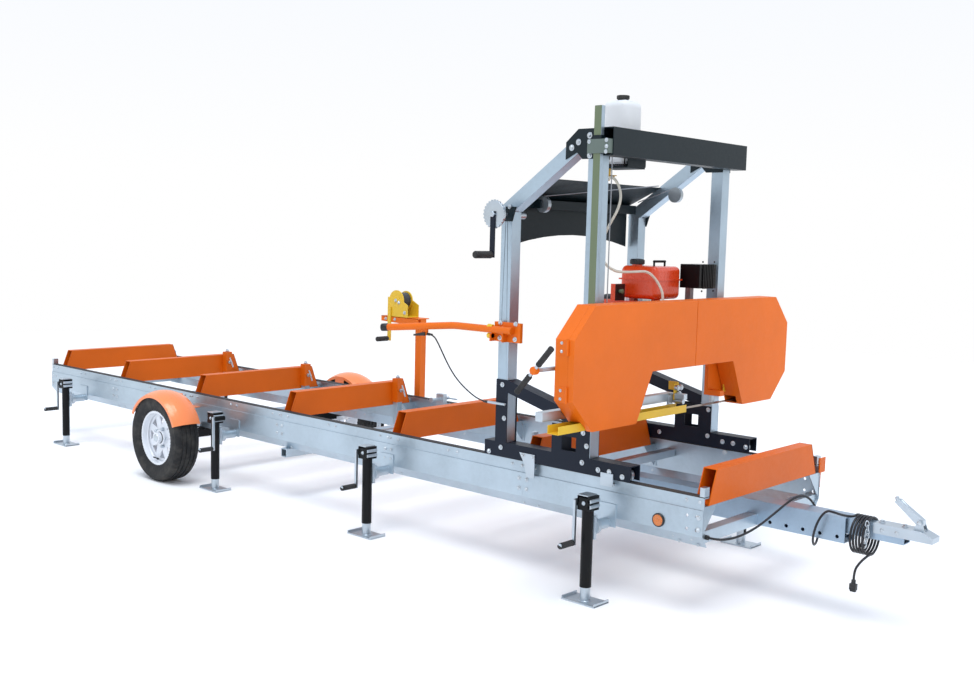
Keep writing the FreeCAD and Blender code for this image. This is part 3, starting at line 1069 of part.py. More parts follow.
def head_frame():
    """The head's cross beam, side beams, engine deck, shoes on the posts, guide arm sleeves and fixed blade guide."""
    back = -s.guard_back
    rear = back - s.head_beam_side
    half = s.head_beam_high / 2
    beam = square_tube("y", (rear, back), (-s.head_beam_reach, s.head_beam_reach),
                       (s.band_level - half, s.band_level + half), s.sheet)
    beam = cut(beam, *both(lambda side: rod("x", s.axle_radius + s.axle_clear, rear - s.overrun, back + s.overrun,
                                            s.band_y * side, s.band_level)))
    # the near end is closed by the nut block that the tension rod turns in
    nut = block((rear + s.sheet, back - s.sheet), (-s.head_beam_reach, -s.head_beam_reach + s.nut_block),
                (s.band_level - half + s.sheet, s.band_level + half - s.sheet))
    pieces = [beam, nut]
    deck_top = s.side_beam_high + s.deck_thick
    width = s.side_beam_width / 2
    for side, y in zip(SIDES, (-s.side_beam_near, s.side_beam_far)):
        beam = square_tube("x", (-s.side_beam_rear, rear), (y - width, y + width),
                           (s.side_beam_low, s.side_beam_high), s.sheet)
        if side > 0:
            beam = cut(beam, block((rear - s.notch_length, rear - s.pulley_gap / 2),
                                   (y - width - s.overrun, y + width + s.overrun),
                                   (s.side_beam_low - s.overrun, s.side_beam_high - s.notch_strip)))
        pieces.append(beam)
        shoe = ((s.frame_inner + s.plate + s.shoe_inset) * side, (s.frame_outer - s.plate - s.shoe_inset) * side)
        pieces.append(block((rear, rear + s.sleeve_lip), shoe, (s.shoe_low, s.band_level - half)))
        pieces.append(block((-s.front_post_x + s.post_side + s.shoe_gap, rear), shoe, (s.shoe_low, s.shoe_high)))
    pieces.append(block((-s.side_beam_rear, -s.deck_front), (-s.side_beam_near - width, s.side_beam_far + width),
                        (s.side_beam_high, deck_top)))
    arm_high = s.arm_low + s.arm_side
    front = -s.guard_back - s.arm_gap
    gap = s.running_gap
    for start in (s.sleeve_near, s.sleeve_far):
        span = (-start - s.sleeve_width, -start)
        sleeve_back = front - s.arm_side - gap
        pieces.append(block((sleeve_back - s.sleeve_wall, sleeve_back), span, (s.arm_low - gap, arm_high + gap)))
        for z in ((s.arm_low - gap - s.sleeve_wall, s.arm_low - gap), (arm_high + gap, arm_high + gap + s.sleeve_wall)):
            pieces.append(block((sleeve_back - s.sleeve_wall, front), span, z))
        pieces.append(block((sleeve_back - s.sleeve_wall, sleeve_back + s.sleeve_lip), span,
                            (arm_high + gap + s.sleeve_wall, s.band_level - half)))
    pieces.append(block((front - s.sleeve_lip, front), (s.guide_plate_near, s.guide_plate_far),
                        (s.arm_low, s.band_level - half)))
    pieces.append(block((front, -s.guard_seam), (s.guide_plate_near, s.guide_plate_near + s.guide_block),
                        (s.arm_low, s.arm_low + s.guide_roller)))
    pieces.append(rod("z", s.guide_pin, s.cover_low + s.running_gap, s.arm_low,
                      -s.band_x - s.blade_width / 2 - s.guide_pin - s.axle_clear, s.guide_plate_near + s.guide_block / 2))
    node("head_frame", *pieces)


def blade_and_wheels():
    """Two band wheels on their axles and the blade that runs around them."""
    half = s.band_width / 2
    rim = s.band_radius - s.band_rim
    outline = [(half, s.band_radius), (-half, s.band_radius), (-half, rim), (-s.band_web / 2, rim),
               (-s.band_web / 2, s.band_hub_radius), (-s.band_hub / 2, s.band_hub_radius), (-s.band_hub / 2, ZERO),
               (s.band_hub / 2, ZERO), (s.band_hub / 2, s.band_hub_radius), (s.band_web / 2, s.band_hub_radius),
               (s.band_web / 2, rim), (half, rim)]
    rear = -s.guard_back - s.head_beam_side
    for side, label in zip(SIDES, ("idler_wheel", "drive_wheel")):
        y = s.band_y * side
        wheel = turned_x(outline, -s.band_x, y, s.band_level)
        axle = rod("x", s.axle_radius, rear - s.axle_tail, -s.band_x, y, s.band_level)
        pieces = [wheel, axle]
        if side > 0:
            front = rear - s.pulley_gap
            pieces.append(rod("x", s.pulley_wheel_radius, front - s.pulley_thick, front, y, s.band_level))
        else:
            nut = rear - s.pulley_gap
            nut_share = 1.5
            pieces.append(rod("x", s.axle_radius * nut_share, nut - s.axle_tail / 3, nut, y, s.band_level))
        node(label, weld(*pieces))

    def racetrack(radius, grow):
        span = (-s.band_x - s.blade_width / 2 - grow, -s.band_x + s.blade_width / 2 + grow)
        middle = block(span, (-s.band_y, s.band_y), (s.band_level - radius, s.band_level + radius))
        return weld(middle, *both(lambda side: rod("x", radius, *span, s.band_y * side, s.band_level)))

    inner = s.band_radius + s.blade_gap
    node("blade", cut(racetrack(inner + s.blade_thick, ZERO), racetrack(inner, s.overrun)))


def belt_loop(centre_a, radius_a, centre_b, radius_b):
    """The wire of a belt round two pulleys in a plane across X, from the outer tangents of two circles."""
    (ya, za), (yb, zb) = centre_a, centre_b
    distance = math.hypot(yb - ya, zb - za)
    heading = math.atan2(zb - za, yb - ya)
    lean = math.acos((radius_a - radius_b) / distance)
    corners = []
    for (y, z), radius in (((ya, za), radius_a), ((yb, zb), radius_b)):
        for side in (1, -1):
            angle = heading + lean * side
            corners.append(FreeCAD.Vector(0, y + radius * math.cos(angle), z + radius * math.sin(angle)))
    top_a, low_a, top_b, low_b = corners
    far_a = FreeCAD.Vector(0, ya - radius_a * math.cos(heading), za - radius_a * math.sin(heading))
    far_b = FreeCAD.Vector(0, yb + radius_b * math.cos(heading), zb + radius_b * math.sin(heading))
    return Part.Wire([Part.LineSegment(top_a, top_b).toShape(), Part.Arc(top_b, far_b, low_b).toShape(),
                      Part.LineSegment(low_b, low_a).toShape(), Part.Arc(low_a, far_a, top_a).toShape()])


def drive_belt():
    """The belt from the engine's clutch pulley to the pulley behind the drive wheel."""
    engine = (s.engine_y.value, s.engine_level.value)
    wheel = (s.band_y.value, s.band_level.value)
    gap, thick = s.belt_gap.value, s.belt_thick.value
    faces = [Part.Face(belt_loop(engine, s.clutch_radius.value + gap + grow, wheel,
                                 s.pulley_wheel_radius.value + gap + grow)) for grow in (thick, 0)]
    ring = faces[0].cut(faces[1])
    rear = -s.guard_back - s.head_beam_side - s.pulley_gap - s.pulley_thick + s.belt_inset
    width = s.pulley_thick - s.belt_inset * 2
    belt = feature(ring.extrude(FreeCAD.Vector(width.value, 0, 0)))
    node("drive_belt", put(belt, rear, ZERO, ZERO))


def guide_arm():
    """The sliding guide arm with its roller, the blade cover that it carries, and the blade tension handle."""
    front = -s.guard_back - s.arm_gap
    arm_high = s.arm_low + s.arm_side
    arm = square_tube("y", (front - s.arm_side, front), (-s.arm_near + s.arm_cap, s.arm_far), (s.arm_low, arm_high),
                      s.sheet)
    cap = block((front - s.arm_side, front), (-s.arm_near, -s.arm_near + s.arm_cap), (s.arm_low, arm_high))
    guide = block((front, -s.guard_seam), (-s.guide_block / 2, s.cover_far), (s.arm_low + s.arm_side / 3, arm_high))
    roller_radius = s.guide_pin
    bracket_share, wide_share = 0.8, 1.5
    roller = rod("x", roller_radius, front + s.arm_gap * 2, -s.band_x + s.blade_width / 2, -s.guide_pin / 3,
                 s.cover_high + s.running_gap * 4 + roller_radius)
    bracket = block((front, -s.cover_back), (-s.guide_block * wide_share, -s.guide_block / 2 - s.running_gap),
                    (s.cover_low + s.cover_wall, s.arm_low + s.arm_side * bracket_share))
    node("guide_arm", arm, cap, weld(guide, roller), bracket)
    length = (-s.cover_near, s.cover_far)
    node("blade_cover", cut(block((-s.cover_back, -s.cover_front), length, (s.cover_low, s.cover_high)),
                            block((-s.cover_back + s.cover_wall, -s.cover_front - s.cover_wall),
                                  (-s.cover_near - s.overrun, s.cover_far + s.overrun),
                                  (s.cover_low + s.cover_wall, s.cover_high + s.overrun))))

    x = -s.guard_back - s.head_beam_side / 2
    rod_end = -s.tension_reach
    stem = rod("y", s.tension_radius, rod_end, -s.head_beam_reach - s.running_gap, x, s.band_level)
    tilt = FreeCAD.Rotation(FreeCAD.Vector(0, 1, 0), 90 - s.bar_tilt_angle.value)
    lean = math.radians(s.bar_tilt_angle.value)
    along_x, along_z = math.cos(lean), math.sin(lean)
    pieces = [stem, rod("y", s.bar_radius * 2, rod_end - s.bar_radius, rod_end + s.bar_radius, x, s.band_level)]
    for radius, low, high in ((s.bar_radius, -s.bar_length / 2, s.bar_length / 2),
                              (s.bar_grip_radius, -s.bar_length / 2, s.bar_grip_length - s.bar_length / 2),
                              (s.bar_grip_radius, s.bar_length / 2 - s.bar_grip_length, s.bar_length / 2)):
        item = doc.addObject("Part::Cylinder", "Bar")
        bind(item, "Radius", radius)
        bind(item, "Height", high - low)
        pieces.append(put(item, x + low * along_x, rod_end, s.band_level + low * along_z, tilt))
    node("tension_handle", weld(*pieces))


def engine():
    """The engine with its cooling housing, cylinder, muffler, air cleaner, switch box and fuel tank."""
    deck = s.side_beam_high + s.deck_thick
    y, z = s.engine_y, s.engine_level
    pieces = [block((-s.case_rear, -s.case_front), (-s.case_near, s.case_far), (deck, s.case_high)),
              rod("x", s.fan_radius, -s.case_rear - s.fan_depth, -s.case_rear, y, z),
              rod("x", s.starter_radius, -s.case_rear - s.fan_depth - s.starter_depth, -s.case_rear - s.fan_depth, y, z)]
    pulley_front = -s.guard_back - s.head_beam_side - s.pulley_gap
    pieces.append(rod("x", s.output_radius, -s.case_front, pulley_front - s.pulley_thick, y, z))
    pieces.append(rod("x", s.clutch_radius, pulley_front - s.pulley_thick, pulley_front, y, z))
    span = (-s.case_rear + s.fin_thick * 2, -s.case_front - s.fin_thick * 2)
    core = block((span[0] + s.fin_gap, span[1] - s.fin_gap), (s.case_far, s.cylinder_far),
                 (s.cylinder_low + s.fin_gap, s.cylinder_high - s.fin_gap))
    fins = []
    gap_share = 1.6
    pitch = s.fin_thick + s.fin_gap * gap_share
    for index in range(7):
        start = s.case_far + s.fin_gap + pitch * index
        fins.append(block(span, (start, start + s.fin_thick), (s.cylinder_low, s.cylinder_high)))
    pieces.append(weld(core, *fins))
    box = block((-s.muffler_rear, -s.muffler_front), (s.muffler_near, s.muffler_far), (s.muffler_low, s.muffler_high))
    louvres = []
    rise = (s.muffler_high - s.muffler_low) / 8
    for index in range(6):
        low = s.muffler_low + rise * (index + 1)
        louvres.append(block((-s.muffler_front - s.fin_thick / 2, -s.muffler_front + s.overrun),
                             (s.muffler_near + rise, s.muffler_far - rise), (low, low + rise / 2)))
    pieces.append(cut(box, *louvres))
    port = (s.port_near, s.cylinder_far - s.fin_gap)
    for x, high in ((-s.muffler_rear, s.muffler_low + s.port_width), (-s.cleaner_front - s.port_width, s.cleaner_low)):
        pieces.append(block((x - s.port_width, x), port, (s.cylinder_high - s.fin_gap, high)))
    pieces.append(block((-s.cleaner_rear, -s.cleaner_front), (s.cleaner_near, s.cleaner_far),
                        (s.cleaner_low, s.cleaner_high)))
    pieces.append(block((-s.control_rear, -s.control_front), (-s.control_near, -s.control_far),
                        (s.case_high, s.control_high)))
    node("engine_block", *pieces)

    tank = doc.addObject("PartDesign::Body", "FuelTank")
    sketch = sketch_on(tank, "xy")
    rear, front, near, far = -s.fuel_rear, -s.fuel_front, s.fuel_near, s.fuel_far
    draw_loop(sketch, [(rear, near), (front, near), (front, far), (rear, far)])
    pad = tank.newObject("PartDesign::Pad", "Pad")
    pad.Profile = sketch
    bind(pad, "Length", s.fuel_high - s.fuel_low)
    doc.recompute()
    rounds = tank.newObject("PartDesign::Fillet", "Round")
    rounds.Base = (pad, [f"Edge{number + 1}" for number in range(len(pad.Shape.Edges))])
    bind(rounds, "Radius", s.fuel_round)
    put(tank, ZERO, ZERO, s.fuel_low)
    grow = s.fuel_flange
    flange = block((rear - grow / 2, front + grow / 2), (near - grow / 4, far + grow / 2),
                   (s.fuel_seam - grow / 2, s.fuel_seam + grow / 2))
    x = -s.fuel_neck_x
    neck = rod("z", s.fuel_neck_radius, s.fuel_high - grow, s.fuel_high + grow, x, s.fuel_neck_y)
    cap = rod("z", s.fuel_cap_radius, s.fuel_high + grow, s.fuel_high + grow + s.fuel_cap, x, s.fuel_neck_y)
    stands = [block((x_stand, x_stand + s.port_width), (s.case_near_stand, s.case_near_stand + s.port_width),
                    (s.case_high, s.fuel_low)) for x_stand in (rear + s.fuel_round, front - s.fuel_round - s.port_width)]
    node("fuel_tank", weld(tank, flange, neck), cap, *stands)


LEAD_ROUTE = [
    (2, -470, 340), (44, -470, 340), (78, -420, 342), (96, -342, 352), (112, -262, 374), (126, -184, 406),
    (140, -108, 440), (154, -36, 469), (172, 38, 468), (192, 92, 412), (212, 92, 334), (230, 38, 277),
    (250, -38, 275), (270, -92, 332), (290, -92, 405), (312, -66, 446), (350, -74, 446), (384, -76, 442),
    (408, -56, 437), (414.4, -32, 434.6), (415, -10, 434.5),
]
TAIL_ROUTE = [
    (486.7, -10, 284.5), (487.7, -48, 284.5), (474, -82, 262), (458, -92, 228), (458, -92, 192),
]


def light_cord():
    """The trailer light cord: from its gland over and round the drawbar, a coil on the drawbar, and the plug."""
    radius = s.cord_radius.value
    for name, route in (("harness_lead", LEAD_ROUTE), ("harness_tail", TAIL_ROUTE)):
        path, radii = bent_path(route)
        solid = sweep_round(path, radius)
        report_cord(name, path, radii, solid, radius)
        nodes[name] = feature(solid)
    node("harness_lead", nodes.pop("harness_lead"), nodes.pop("harness_tail"))

    ring, turns, pitch = s.coil_radius.value, s.coil_turns.value, s.coil_pitch.value
    straight = radius * 2
    top = FreeCAD.Vector(*LEAD_ROUTE[-1])
    centre_z = top.z - ring

    def on_coil(angle):
        along = pitch * angle / math.tau
        return FreeCAD.Vector(top.x + along, top.y + straight + ring * math.sin(angle), centre_z + ring * math.cos(angle))

    arcs = []
    for index in range(int(turns * 4)):
        low, high = math.tau * index / 4, math.tau * (index + 1) / 4
        arcs.append(Part.Arc(on_coil(low), on_coil((low + high) / 2), on_coil(high)).toShape())
    first, last = arcs[0], arcs[-1]
    start, end = first.valueAt(first.FirstParameter), last.valueAt(last.LastParameter)
    into, out = first.tangentAt(first.FirstParameter), last.tangentAt(last.LastParameter)
    arcs.insert(0, Part.LineSegment(start - into * straight, start).toShape())
    arcs.append(Part.LineSegment(end, end + out * straight).toShape())
    path = Part.Wire(arcs)
    coil = sweep_round(path, radius)
    report_cord("harness_coil", path, [ring], coil, radius)
    print(f"harness_coil: ends at {start - into * straight} and {end + out * straight}, least gap between turns "
          f"{pitch - radius * 2:.1f} mm")
    node("harness_coil", feature(coil))
    x, y, z = (Size(value, str(value)) for value in TAIL_ROUTE[-1])
    node("harness_plug", rod("z", s.plug_radius, z - s.plug_length, z, x, y))


def finish():
    """Moves every sub-part to the common origin, checks it and writes it."""
    front = s.coupler_back + s.coupler_length
    rear = seam(6)
    near = -s.tension_reach - s.bar_grip_radius
    far = s.guard_reach + s.hinge_radius * 2
    shift_x = -(front + rear) / 2
    shift_y = -(near + far) / 2
    for item in nodes.values():
        put(item, shift_x, shift_y, ZERO)
    doc.recompute()
    for item in doc.Objects:
        if "Invalid" in item.State or "Error" in item.State:
            raise RuntimeError(f"{item.Label} failed")
    os.makedirs("parts", exist_ok=True)
    for name, item in nodes.items():
        if item.Shape.isNull() or not item.Shape.isValid():
            raise RuntimeError(f"{name} has no valid shape")
        item.Shape.exportStep(f"parts/{name}.step")
    print(len(nodes), "sub-parts")


bed()
running_gear()
tongue()
jacks()
log_handling()
carriage()
top_frame()
height_crank()
push_handle()
head_frame()
guards()
blade_and_wheels()
drive_belt()
guide_arm()
engine()
light_cord()
finish()
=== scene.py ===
import math

import bmesh
import bpy
from mathutils import Matrix, Vector


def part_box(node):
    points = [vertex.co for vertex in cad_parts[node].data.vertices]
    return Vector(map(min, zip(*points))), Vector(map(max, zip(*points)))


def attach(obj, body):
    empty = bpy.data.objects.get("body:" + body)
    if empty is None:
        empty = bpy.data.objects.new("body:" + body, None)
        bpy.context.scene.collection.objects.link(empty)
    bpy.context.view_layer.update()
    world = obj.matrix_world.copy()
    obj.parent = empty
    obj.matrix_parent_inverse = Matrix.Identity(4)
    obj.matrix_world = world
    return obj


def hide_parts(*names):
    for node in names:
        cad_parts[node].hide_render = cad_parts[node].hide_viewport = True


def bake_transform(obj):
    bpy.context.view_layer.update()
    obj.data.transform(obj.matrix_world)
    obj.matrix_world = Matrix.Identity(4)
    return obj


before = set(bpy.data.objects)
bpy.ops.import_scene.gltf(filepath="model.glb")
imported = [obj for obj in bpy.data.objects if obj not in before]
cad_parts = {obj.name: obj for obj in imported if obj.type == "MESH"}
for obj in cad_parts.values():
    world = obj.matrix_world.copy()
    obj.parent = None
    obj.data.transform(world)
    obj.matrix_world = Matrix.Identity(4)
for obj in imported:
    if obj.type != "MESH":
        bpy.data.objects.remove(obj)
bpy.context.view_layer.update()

MM = 0.001
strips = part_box("running_strips")
FRONT_X = strips[1].x
CENTRE_Y = (strips[0].y + strips[1].y) / 2
SECTION_LEAD = 40
SECTION = ((strips[1].x - strips[0].x) / MM - SECTION_LEAD) / 6
NEAR, FAR = -1, 1
RAIL_WEB, RAIL_STRIP, RAIL_FLANGE = 517.5, 512.5, 497


def at(x, y, z):
    """A place from millimetres ahead of the rails' front end, to the far side and above the ground."""
    return Vector((FRONT_X + x * MM, CENTRE_Y + y * MM, z * MM))


def seam(index):
    """The place of a rail seam, in millimetres from the rails' front end."""
    return 0 if index == 0 else -(SECTION_LEAD + SECTION * index)


def rgb(red, green, blue):
    """A linear colour from screen values of 0 to 255."""
    return tuple(v / 255 / 12.92 if v <= 10 else ((v / 255 + 0.055) / 1.055) ** 2.4
                 for v in (red, green, blue)) + (1,)


# finishes

def node(tree, kind, inputs=None, **settings):
    """A shader node with its settings made and its inputs set or linked."""
    item = tree.nodes.new(kind)
    for key, value in settings.items():
        setattr(item, key, value)
    for key, value in (inputs or {}).items():
        if isinstance(value, bpy.types.NodeSocket):
            tree.links.new(value, item.inputs[key])
        else:
            item.inputs[key].default_value = value
    return item


def shader(name, colour, rough, metallic=0.0):
    made = bpy.data.materials.new(name)
    made.use_nodes = True
    tree = made.node_tree
    bsdf = tree.nodes["Principled BSDF"]
    bsdf.inputs["Base Color"].default_value = colour
    bsdf.inputs["Roughness"].default_value = rough
    bsdf.inputs["Metallic"].default_value = metallic
    return made, tree, bsdf


def shaded(colour, factor):
    return tuple(min(1.0, channel * factor) for channel in colour[:3]) + (1,)


def blended(tree, share, low, high):
    """A colour between two, by a share."""
    mix = node(tree, "ShaderNodeMix", data_type="RGBA")
    tree.links.new(share, mix.inputs[0])
    for socket, value in ((mix.inputs[6], low), (mix.inputs[7], high)):
        if isinstance(value, bpy.types.NodeSocket):
            tree.links.new(value, socket)
        else:
            socket.default_value = value
    return mix.outputs[2]


def ranged(tree, value, low, high, to_low, to_high):
    """A value moved from one range to another."""
    return node(tree, "ShaderNodeMapRange", {"Value": value, "From Min": low, "From Max": high,
                                             "To Min": to_low, "To Max": to_high}).outputs[0]


def surface(tree, bsdf, edge, bump_scale, bump_depth, detail=4):
    """A fine bump over rounded edges; gives the object's coordinates and how near an edge a place is."""
    place = node(tree, "ShaderNodeTexCoord").outputs["Object"]
    rounded = node(tree, "ShaderNodeBevel", {"Radius": edge}, samples=4).outputs[0]
    flat = node(tree, "ShaderNodeNewGeometry").outputs["Normal"]
    facing = node(tree, "ShaderNodeVectorMath", {0: rounded, 1: flat},
                  operation="DOT_PRODUCT").outputs["Value"]
    # how near an edge a place is: the mask for the painted edge highlight in the finishes
    edge_highlight = ranged(tree, facing, 0.995, 0.9, 0, 1)
    grain = node(tree, "ShaderNodeTexNoise", {"Vector": place, "Scale": bump_scale,
                                              "Detail": detail}).outputs[0]
    bump = node(tree, "ShaderNodeBump", {"Height": grain, "Distance": bump_depth, "Strength": 0.6,
                                         "Normal": rounded})
    tree.links.new(bump.outputs[0], bsdf.inputs["Normal"])
    return place, edge_highlight


def coat(name, colour, rough=0.38, spread=0.07, edge_highlight_lift=1.5, clear=0.0, dust=0.1, shine=0.5):
    """Powder coat or enamel: slow drifts of tone, orange peel, and edges painted paler as a highlight."""
    made, tree, bsdf = shader(name, colour, rough)
    place, edge_highlight = surface(tree, bsdf, 0.002, 260, 0.0004)
    drift = node(tree, "ShaderNodeTexNoise", {"Vector": place, "Scale": 2.6, "Detail": 5,
                                              "Roughness": 0.55}).outputs[0]
    base = blended(tree, ranged(tree, drift, 0.3, 0.7, 0, 1), shaded(colour, 1 - spread),
                   shaded(colour, 1 + spread))
    speck = node(tree, "ShaderNodeTexNoise", {"Vector": place, "Scale": 55, "Detail": 8,
                                              "Roughness": 0.7}).outputs[0]
    dusty = blended(tree, ranged(tree, speck, 0.62, 0.8, 0, dust), base, rgb(196, 186, 172))
    # painted highlight: edges lifted towards a paler copy of the colour
    lit = blended(tree, ranged(tree, edge_highlight, 0, 1, 0, 0.5), dusty, shaded(colour, edge_highlight_lift))
    tree.links.new(lit, bsdf.inputs["Base Color"])
    tree.links.new(ranged(tree, speck, 0.3, 0.7, rough - 0.05, rough + 0.09), bsdf.inputs["Roughness"])
    bsdf.inputs["Specular IOR Level"].default_value = shine
    bsdf.inputs["Coat Weight"].default_value = clear
    bsdf.inputs["Coat Roughness"].default_value = 0.12
    return made


def zinc(name, colour, rough, spangle=60, contrast=0.12, metallic=0.8):
    """Hot-dip galvanised sheet: crystals that differ a little in tone and gloss, over slow cloudy drifts."""
    made, tree, bsdf = shader(name, colour, rough, metallic)
    place, edge_highlight = surface(tree, bsdf, 0.0015, 120, 0.0003)
    cells = node(tree, "ShaderNodeTexVoronoi", {"Vector": place, "Scale": spangle, "Randomness": 1.0})
    crystal = node(tree, "ShaderNodeSeparateColor", {"Color": cells.outputs["Color"]}).outputs[0]
    drift = node(tree, "ShaderNodeTexNoise", {"Vector": place, "Scale": 3.5, "Detail": 6,
                                              "Roughness": 0.6}).outputs[0]
    cloudy = blended(tree, ranged(tree, drift, 0.3, 0.7, 0, 1), shaded(colour, 1 - contrast),
                     shaded(colour, 1 + contrast))
    tone = blended(tree, ranged(tree, crystal, 0, 1, 0, 0.2), cloudy, shaded(colour, 1 + contrast * 2))
    stain = node(tree, "ShaderNodeTexNoise", {"Vector": place, "Scale": 24, "Detail": 9,
                                              "Roughness": 0.75}).outputs[0]
    stained = blended(tree, ranged(tree, stain, 0.6, 0.8, 0, 0.3), tone, rgb(150, 158, 164))
    # painted highlight: edges lightened towards a paler copy of the zinc colour
    tree.links.new(blended(tree, ranged(tree, edge_highlight, 0, 1, 0, 0.4), stained, shaded(colour, 1.3)),
                   bsdf.inputs["Base Color"])
    tree.links.new(ranged(tree, crystal, 0, 1, rough - 0.03, rough + 0.04), bsdf.inputs["Roughness"])
    return made


def brushed(name, colour, rough, stretch):
    """Drawn or ground steel with fine lines along one axis; stretch squeezes the noise along the others."""
    made, tree, bsdf = shader(name, colour, rough, 1.0)
    place = surface(tree, bsdf, 0.001, 200, 0.0002)[0]
    lines = node(tree, "ShaderNodeMapping", {"Vector": place, "Scale": stretch}).outputs[0]
    streak = node(tree, "ShaderNodeTexNoise", {"Vector": lines, "Scale": 30, "Detail": 6}).outputs[0]
    tree.links.new(blended(tree, ranged(tree, streak, 0.3, 0.7, 0, 1), shaded(colour, 0.82),
                           shaded(colour, 1.12)), bsdf.inputs["Base Color"])
    tree.links.new(ranged(tree, streak, 0.3, 0.7, rough - 0.08, rough + 0.12), bsdf.inputs["Roughness"])
    return made


def plated(name, colour, rough):
    """Smooth zinc plating with slow drifts of tone and gloss and edges painted near-white as a highlight."""
    made, tree, bsdf = shader(name, colour, rough, 0.9)
    place, edge_highlight = surface(tree, bsdf, 0.001, 90, 0.0001)
    drift = node(tree, "ShaderNodeTexNoise", {"Vector": place, "Scale": 9, "Detail": 3,
                                              "Roughness": 0.5}).outputs[0]
    tone = blended(tree, ranged(tree, drift, 0.3, 0.7, 0, 1), shaded(colour, 0.93), shaded(colour, 1.06))
    # painted highlight: edges blended towards near-white
    tree.links.new(blended(tree, ranged(tree, edge_highlight, 0, 1, 0, 0.2), tone, rgb(236, 240, 244)),
                   bsdf.inputs["Base Color"])
    tree.links.new(ranged(tree, drift, 0.3, 0.7, rough - 0.03, rough + 0.05), bsdf.inputs["Roughness"])
    return made


def moulded(name, colour, rough, bump_scale=300, bump_depth=0.0005, dust=0.12):
    """Rubber or moulded plastic with a fine grain and a little dust."""
    made, tree, bsdf = shader(name, colour, rough)
    place, edge_highlight = surface(tree, bsdf, 0.0015, bump_scale, bump_depth, 6)
    cloud = node(tree, "ShaderNodeTexNoise", {"Vector": place, "Scale": 14, "Detail": 7,
                                              "Roughness": 0.65}).outputs[0]
    dusty = blended(tree, ranged(tree, cloud, 0.45, 0.8, 0, dust), colour, rgb(150, 144, 134))
    # painted highlight: edges lightened towards a mid grey
    tree.links.new(blended(tree, ranged(tree, edge_highlight, 0, 1, 0, 0.25), dusty, rgb(120, 122, 126)),
                   bsdf.inputs["Base Color"])
    tree.links.new(ranged(tree, cloud, 0.3, 0.7, rough - 0.06, rough + 0.1), bsdf.inputs["Roughness"])
    return made


def clear(name, colour, rough, transmission, subsurface=0.0):
    """Translucent moulded plastic, a little uneven in thickness."""
    made, tree, bsdf = shader(name, colour, rough)
    place = node(tree, "ShaderNodeTexCoord").outputs["Object"]
    cloud = node(tree, "ShaderNodeTexNoise", {"Vector": place, "Scale": 6, "Detail": 4}).outputs[0]
    tree.links.new(blended(tree, ranged(tree, cloud, 0.3, 0.7, 0, 1), shaded(colour, 0.94),
                           shaded(colour, 1.04)), bsdf.inputs["Base Color"])
    tree.links.new(ranged(tree, cloud, 0.3, 0.7, rough - 0.05, rough + 0.08), bsdf.inputs["Roughness"])
    bsdf.inputs["Transmission Weight"].default_value = transmission
    bsdf.inputs["Subsurface Weight"].default_value = subsurface
    bsdf.inputs["Subsurface Radius"].default_value = (0.02, 0.02, 0.02)
    return made


def webbing(name, colour):
    """A woven strap: crossing ribs in the bump, painted darker in their grooves and lighter on their tops as
    shade and light.
    """
    made, tree, bsdf = shader(name, colour, 0.8)
    place = node(tree, "ShaderNodeTexCoord").outputs["Object"]
    across = node(tree, "ShaderNodeTexWave", {"Vector": place, "Scale": 180, "Distortion": 0.6}).outputs[1]
    weave = node(tree, "ShaderNodeBump", {"Height": across, "Distance": 0.0008, "Strength": 0.8}).outputs[0]
    tree.links.new(weave, bsdf.inputs["Normal"])
    # painted shade and light: darker in the weave's grooves, lighter on its ribs
    tree.links.new(blended(tree, across, shaded(colour, 0.6), shaded(colour, 1.4)), bsdf.inputs["Base Color"])
    bsdf.inputs["Sheen Weight"].default_value = 0.4
    return made


def lens(name, colour):
    """A reflector: small prisms behind a glossy coloured face, each painted lighter in its middle as a glint
    and darker at its border as shade.
    """
    made, tree, bsdf = shader(name, colour, 0.12)
    place = node(tree, "ShaderNodeTexCoord").outputs["Object"]
    prisms = node(tree, "ShaderNodeTexVoronoi", {"Vector": place, "Scale": 330}).outputs["Distance"]
    bump = node(tree, "ShaderNodeBump", {"Height": prisms, "Distance": 0.001}).outputs[0]
    tree.links.new(bump, bsdf.inputs["Normal"])
    # painted glint and shade: each prism cell lighter in its middle, darker at its border
    tree.links.new(blended(tree, prisms, shaded(colour, 1.5), shaded(colour, 0.55)),
                   bsdf.inputs["Base Color"])
    bsdf.inputs["Coat Weight"].default_value = 1
    return made


GALVANISED = zinc("galvanised_sheet", rgb(176, 190, 200), 0.36)
TONGUE_ZINC = zinc("tongue_zinc", rgb(158, 178, 196), 0.38)
POST_ZINC = zinc("post_zinc", rgb(170, 188, 202), 0.34, spangle=90)
BRIGHT = plated("bright_zinc", rgb(188, 198, 206), 0.33)
BOLT = plated("bolt_zinc", rgb(196, 204, 210), 0.3)
ORANGE = coat("orange_coat", rgb(226, 106, 8), 0.44, dust=0.03, shine=0.3)
BUNK = coat("bunk_orange_coat", rgb(212, 96, 2), 0.44, dust=0.02, shine=0.3)
FENDER = coat("fender_orange_coat", rgb(252, 138, 76), 0.3, clear=0.4, dust=0.04)
SLATE = coat("slate_coat", rgb(20, 28, 42), 0.4, edge_highlight_lift=2.0, dust=0.02, shine=0.2)
BEAM = coat("top_beam_coat", rgb(18, 32, 38), 0.4, edge_highlight_lift=2.0, dust=0.02, shine=0.25)
BLACK = coat("black_coat", rgb(8, 9, 12), 0.34, edge_highlight_lift=2.5, dust=0.02, shine=0.2)
YELLOW = coat("yellow_enamel", rgb(226, 186, 44), 0.36)
ENGINE = coat("engine_enamel", rgb(222, 70, 24), 0.26, clear=0.5, dust=0.04)
WHITE = coat("white_enamel", rgb(232, 236, 242), 0.3, clear=0.3)
OLIVE = coat("mast_olive", rgb(104, 118, 90), 0.5)
BLADE = brushed("blade_steel", rgb(150, 138, 122), 0.32, (4, 1, 40))
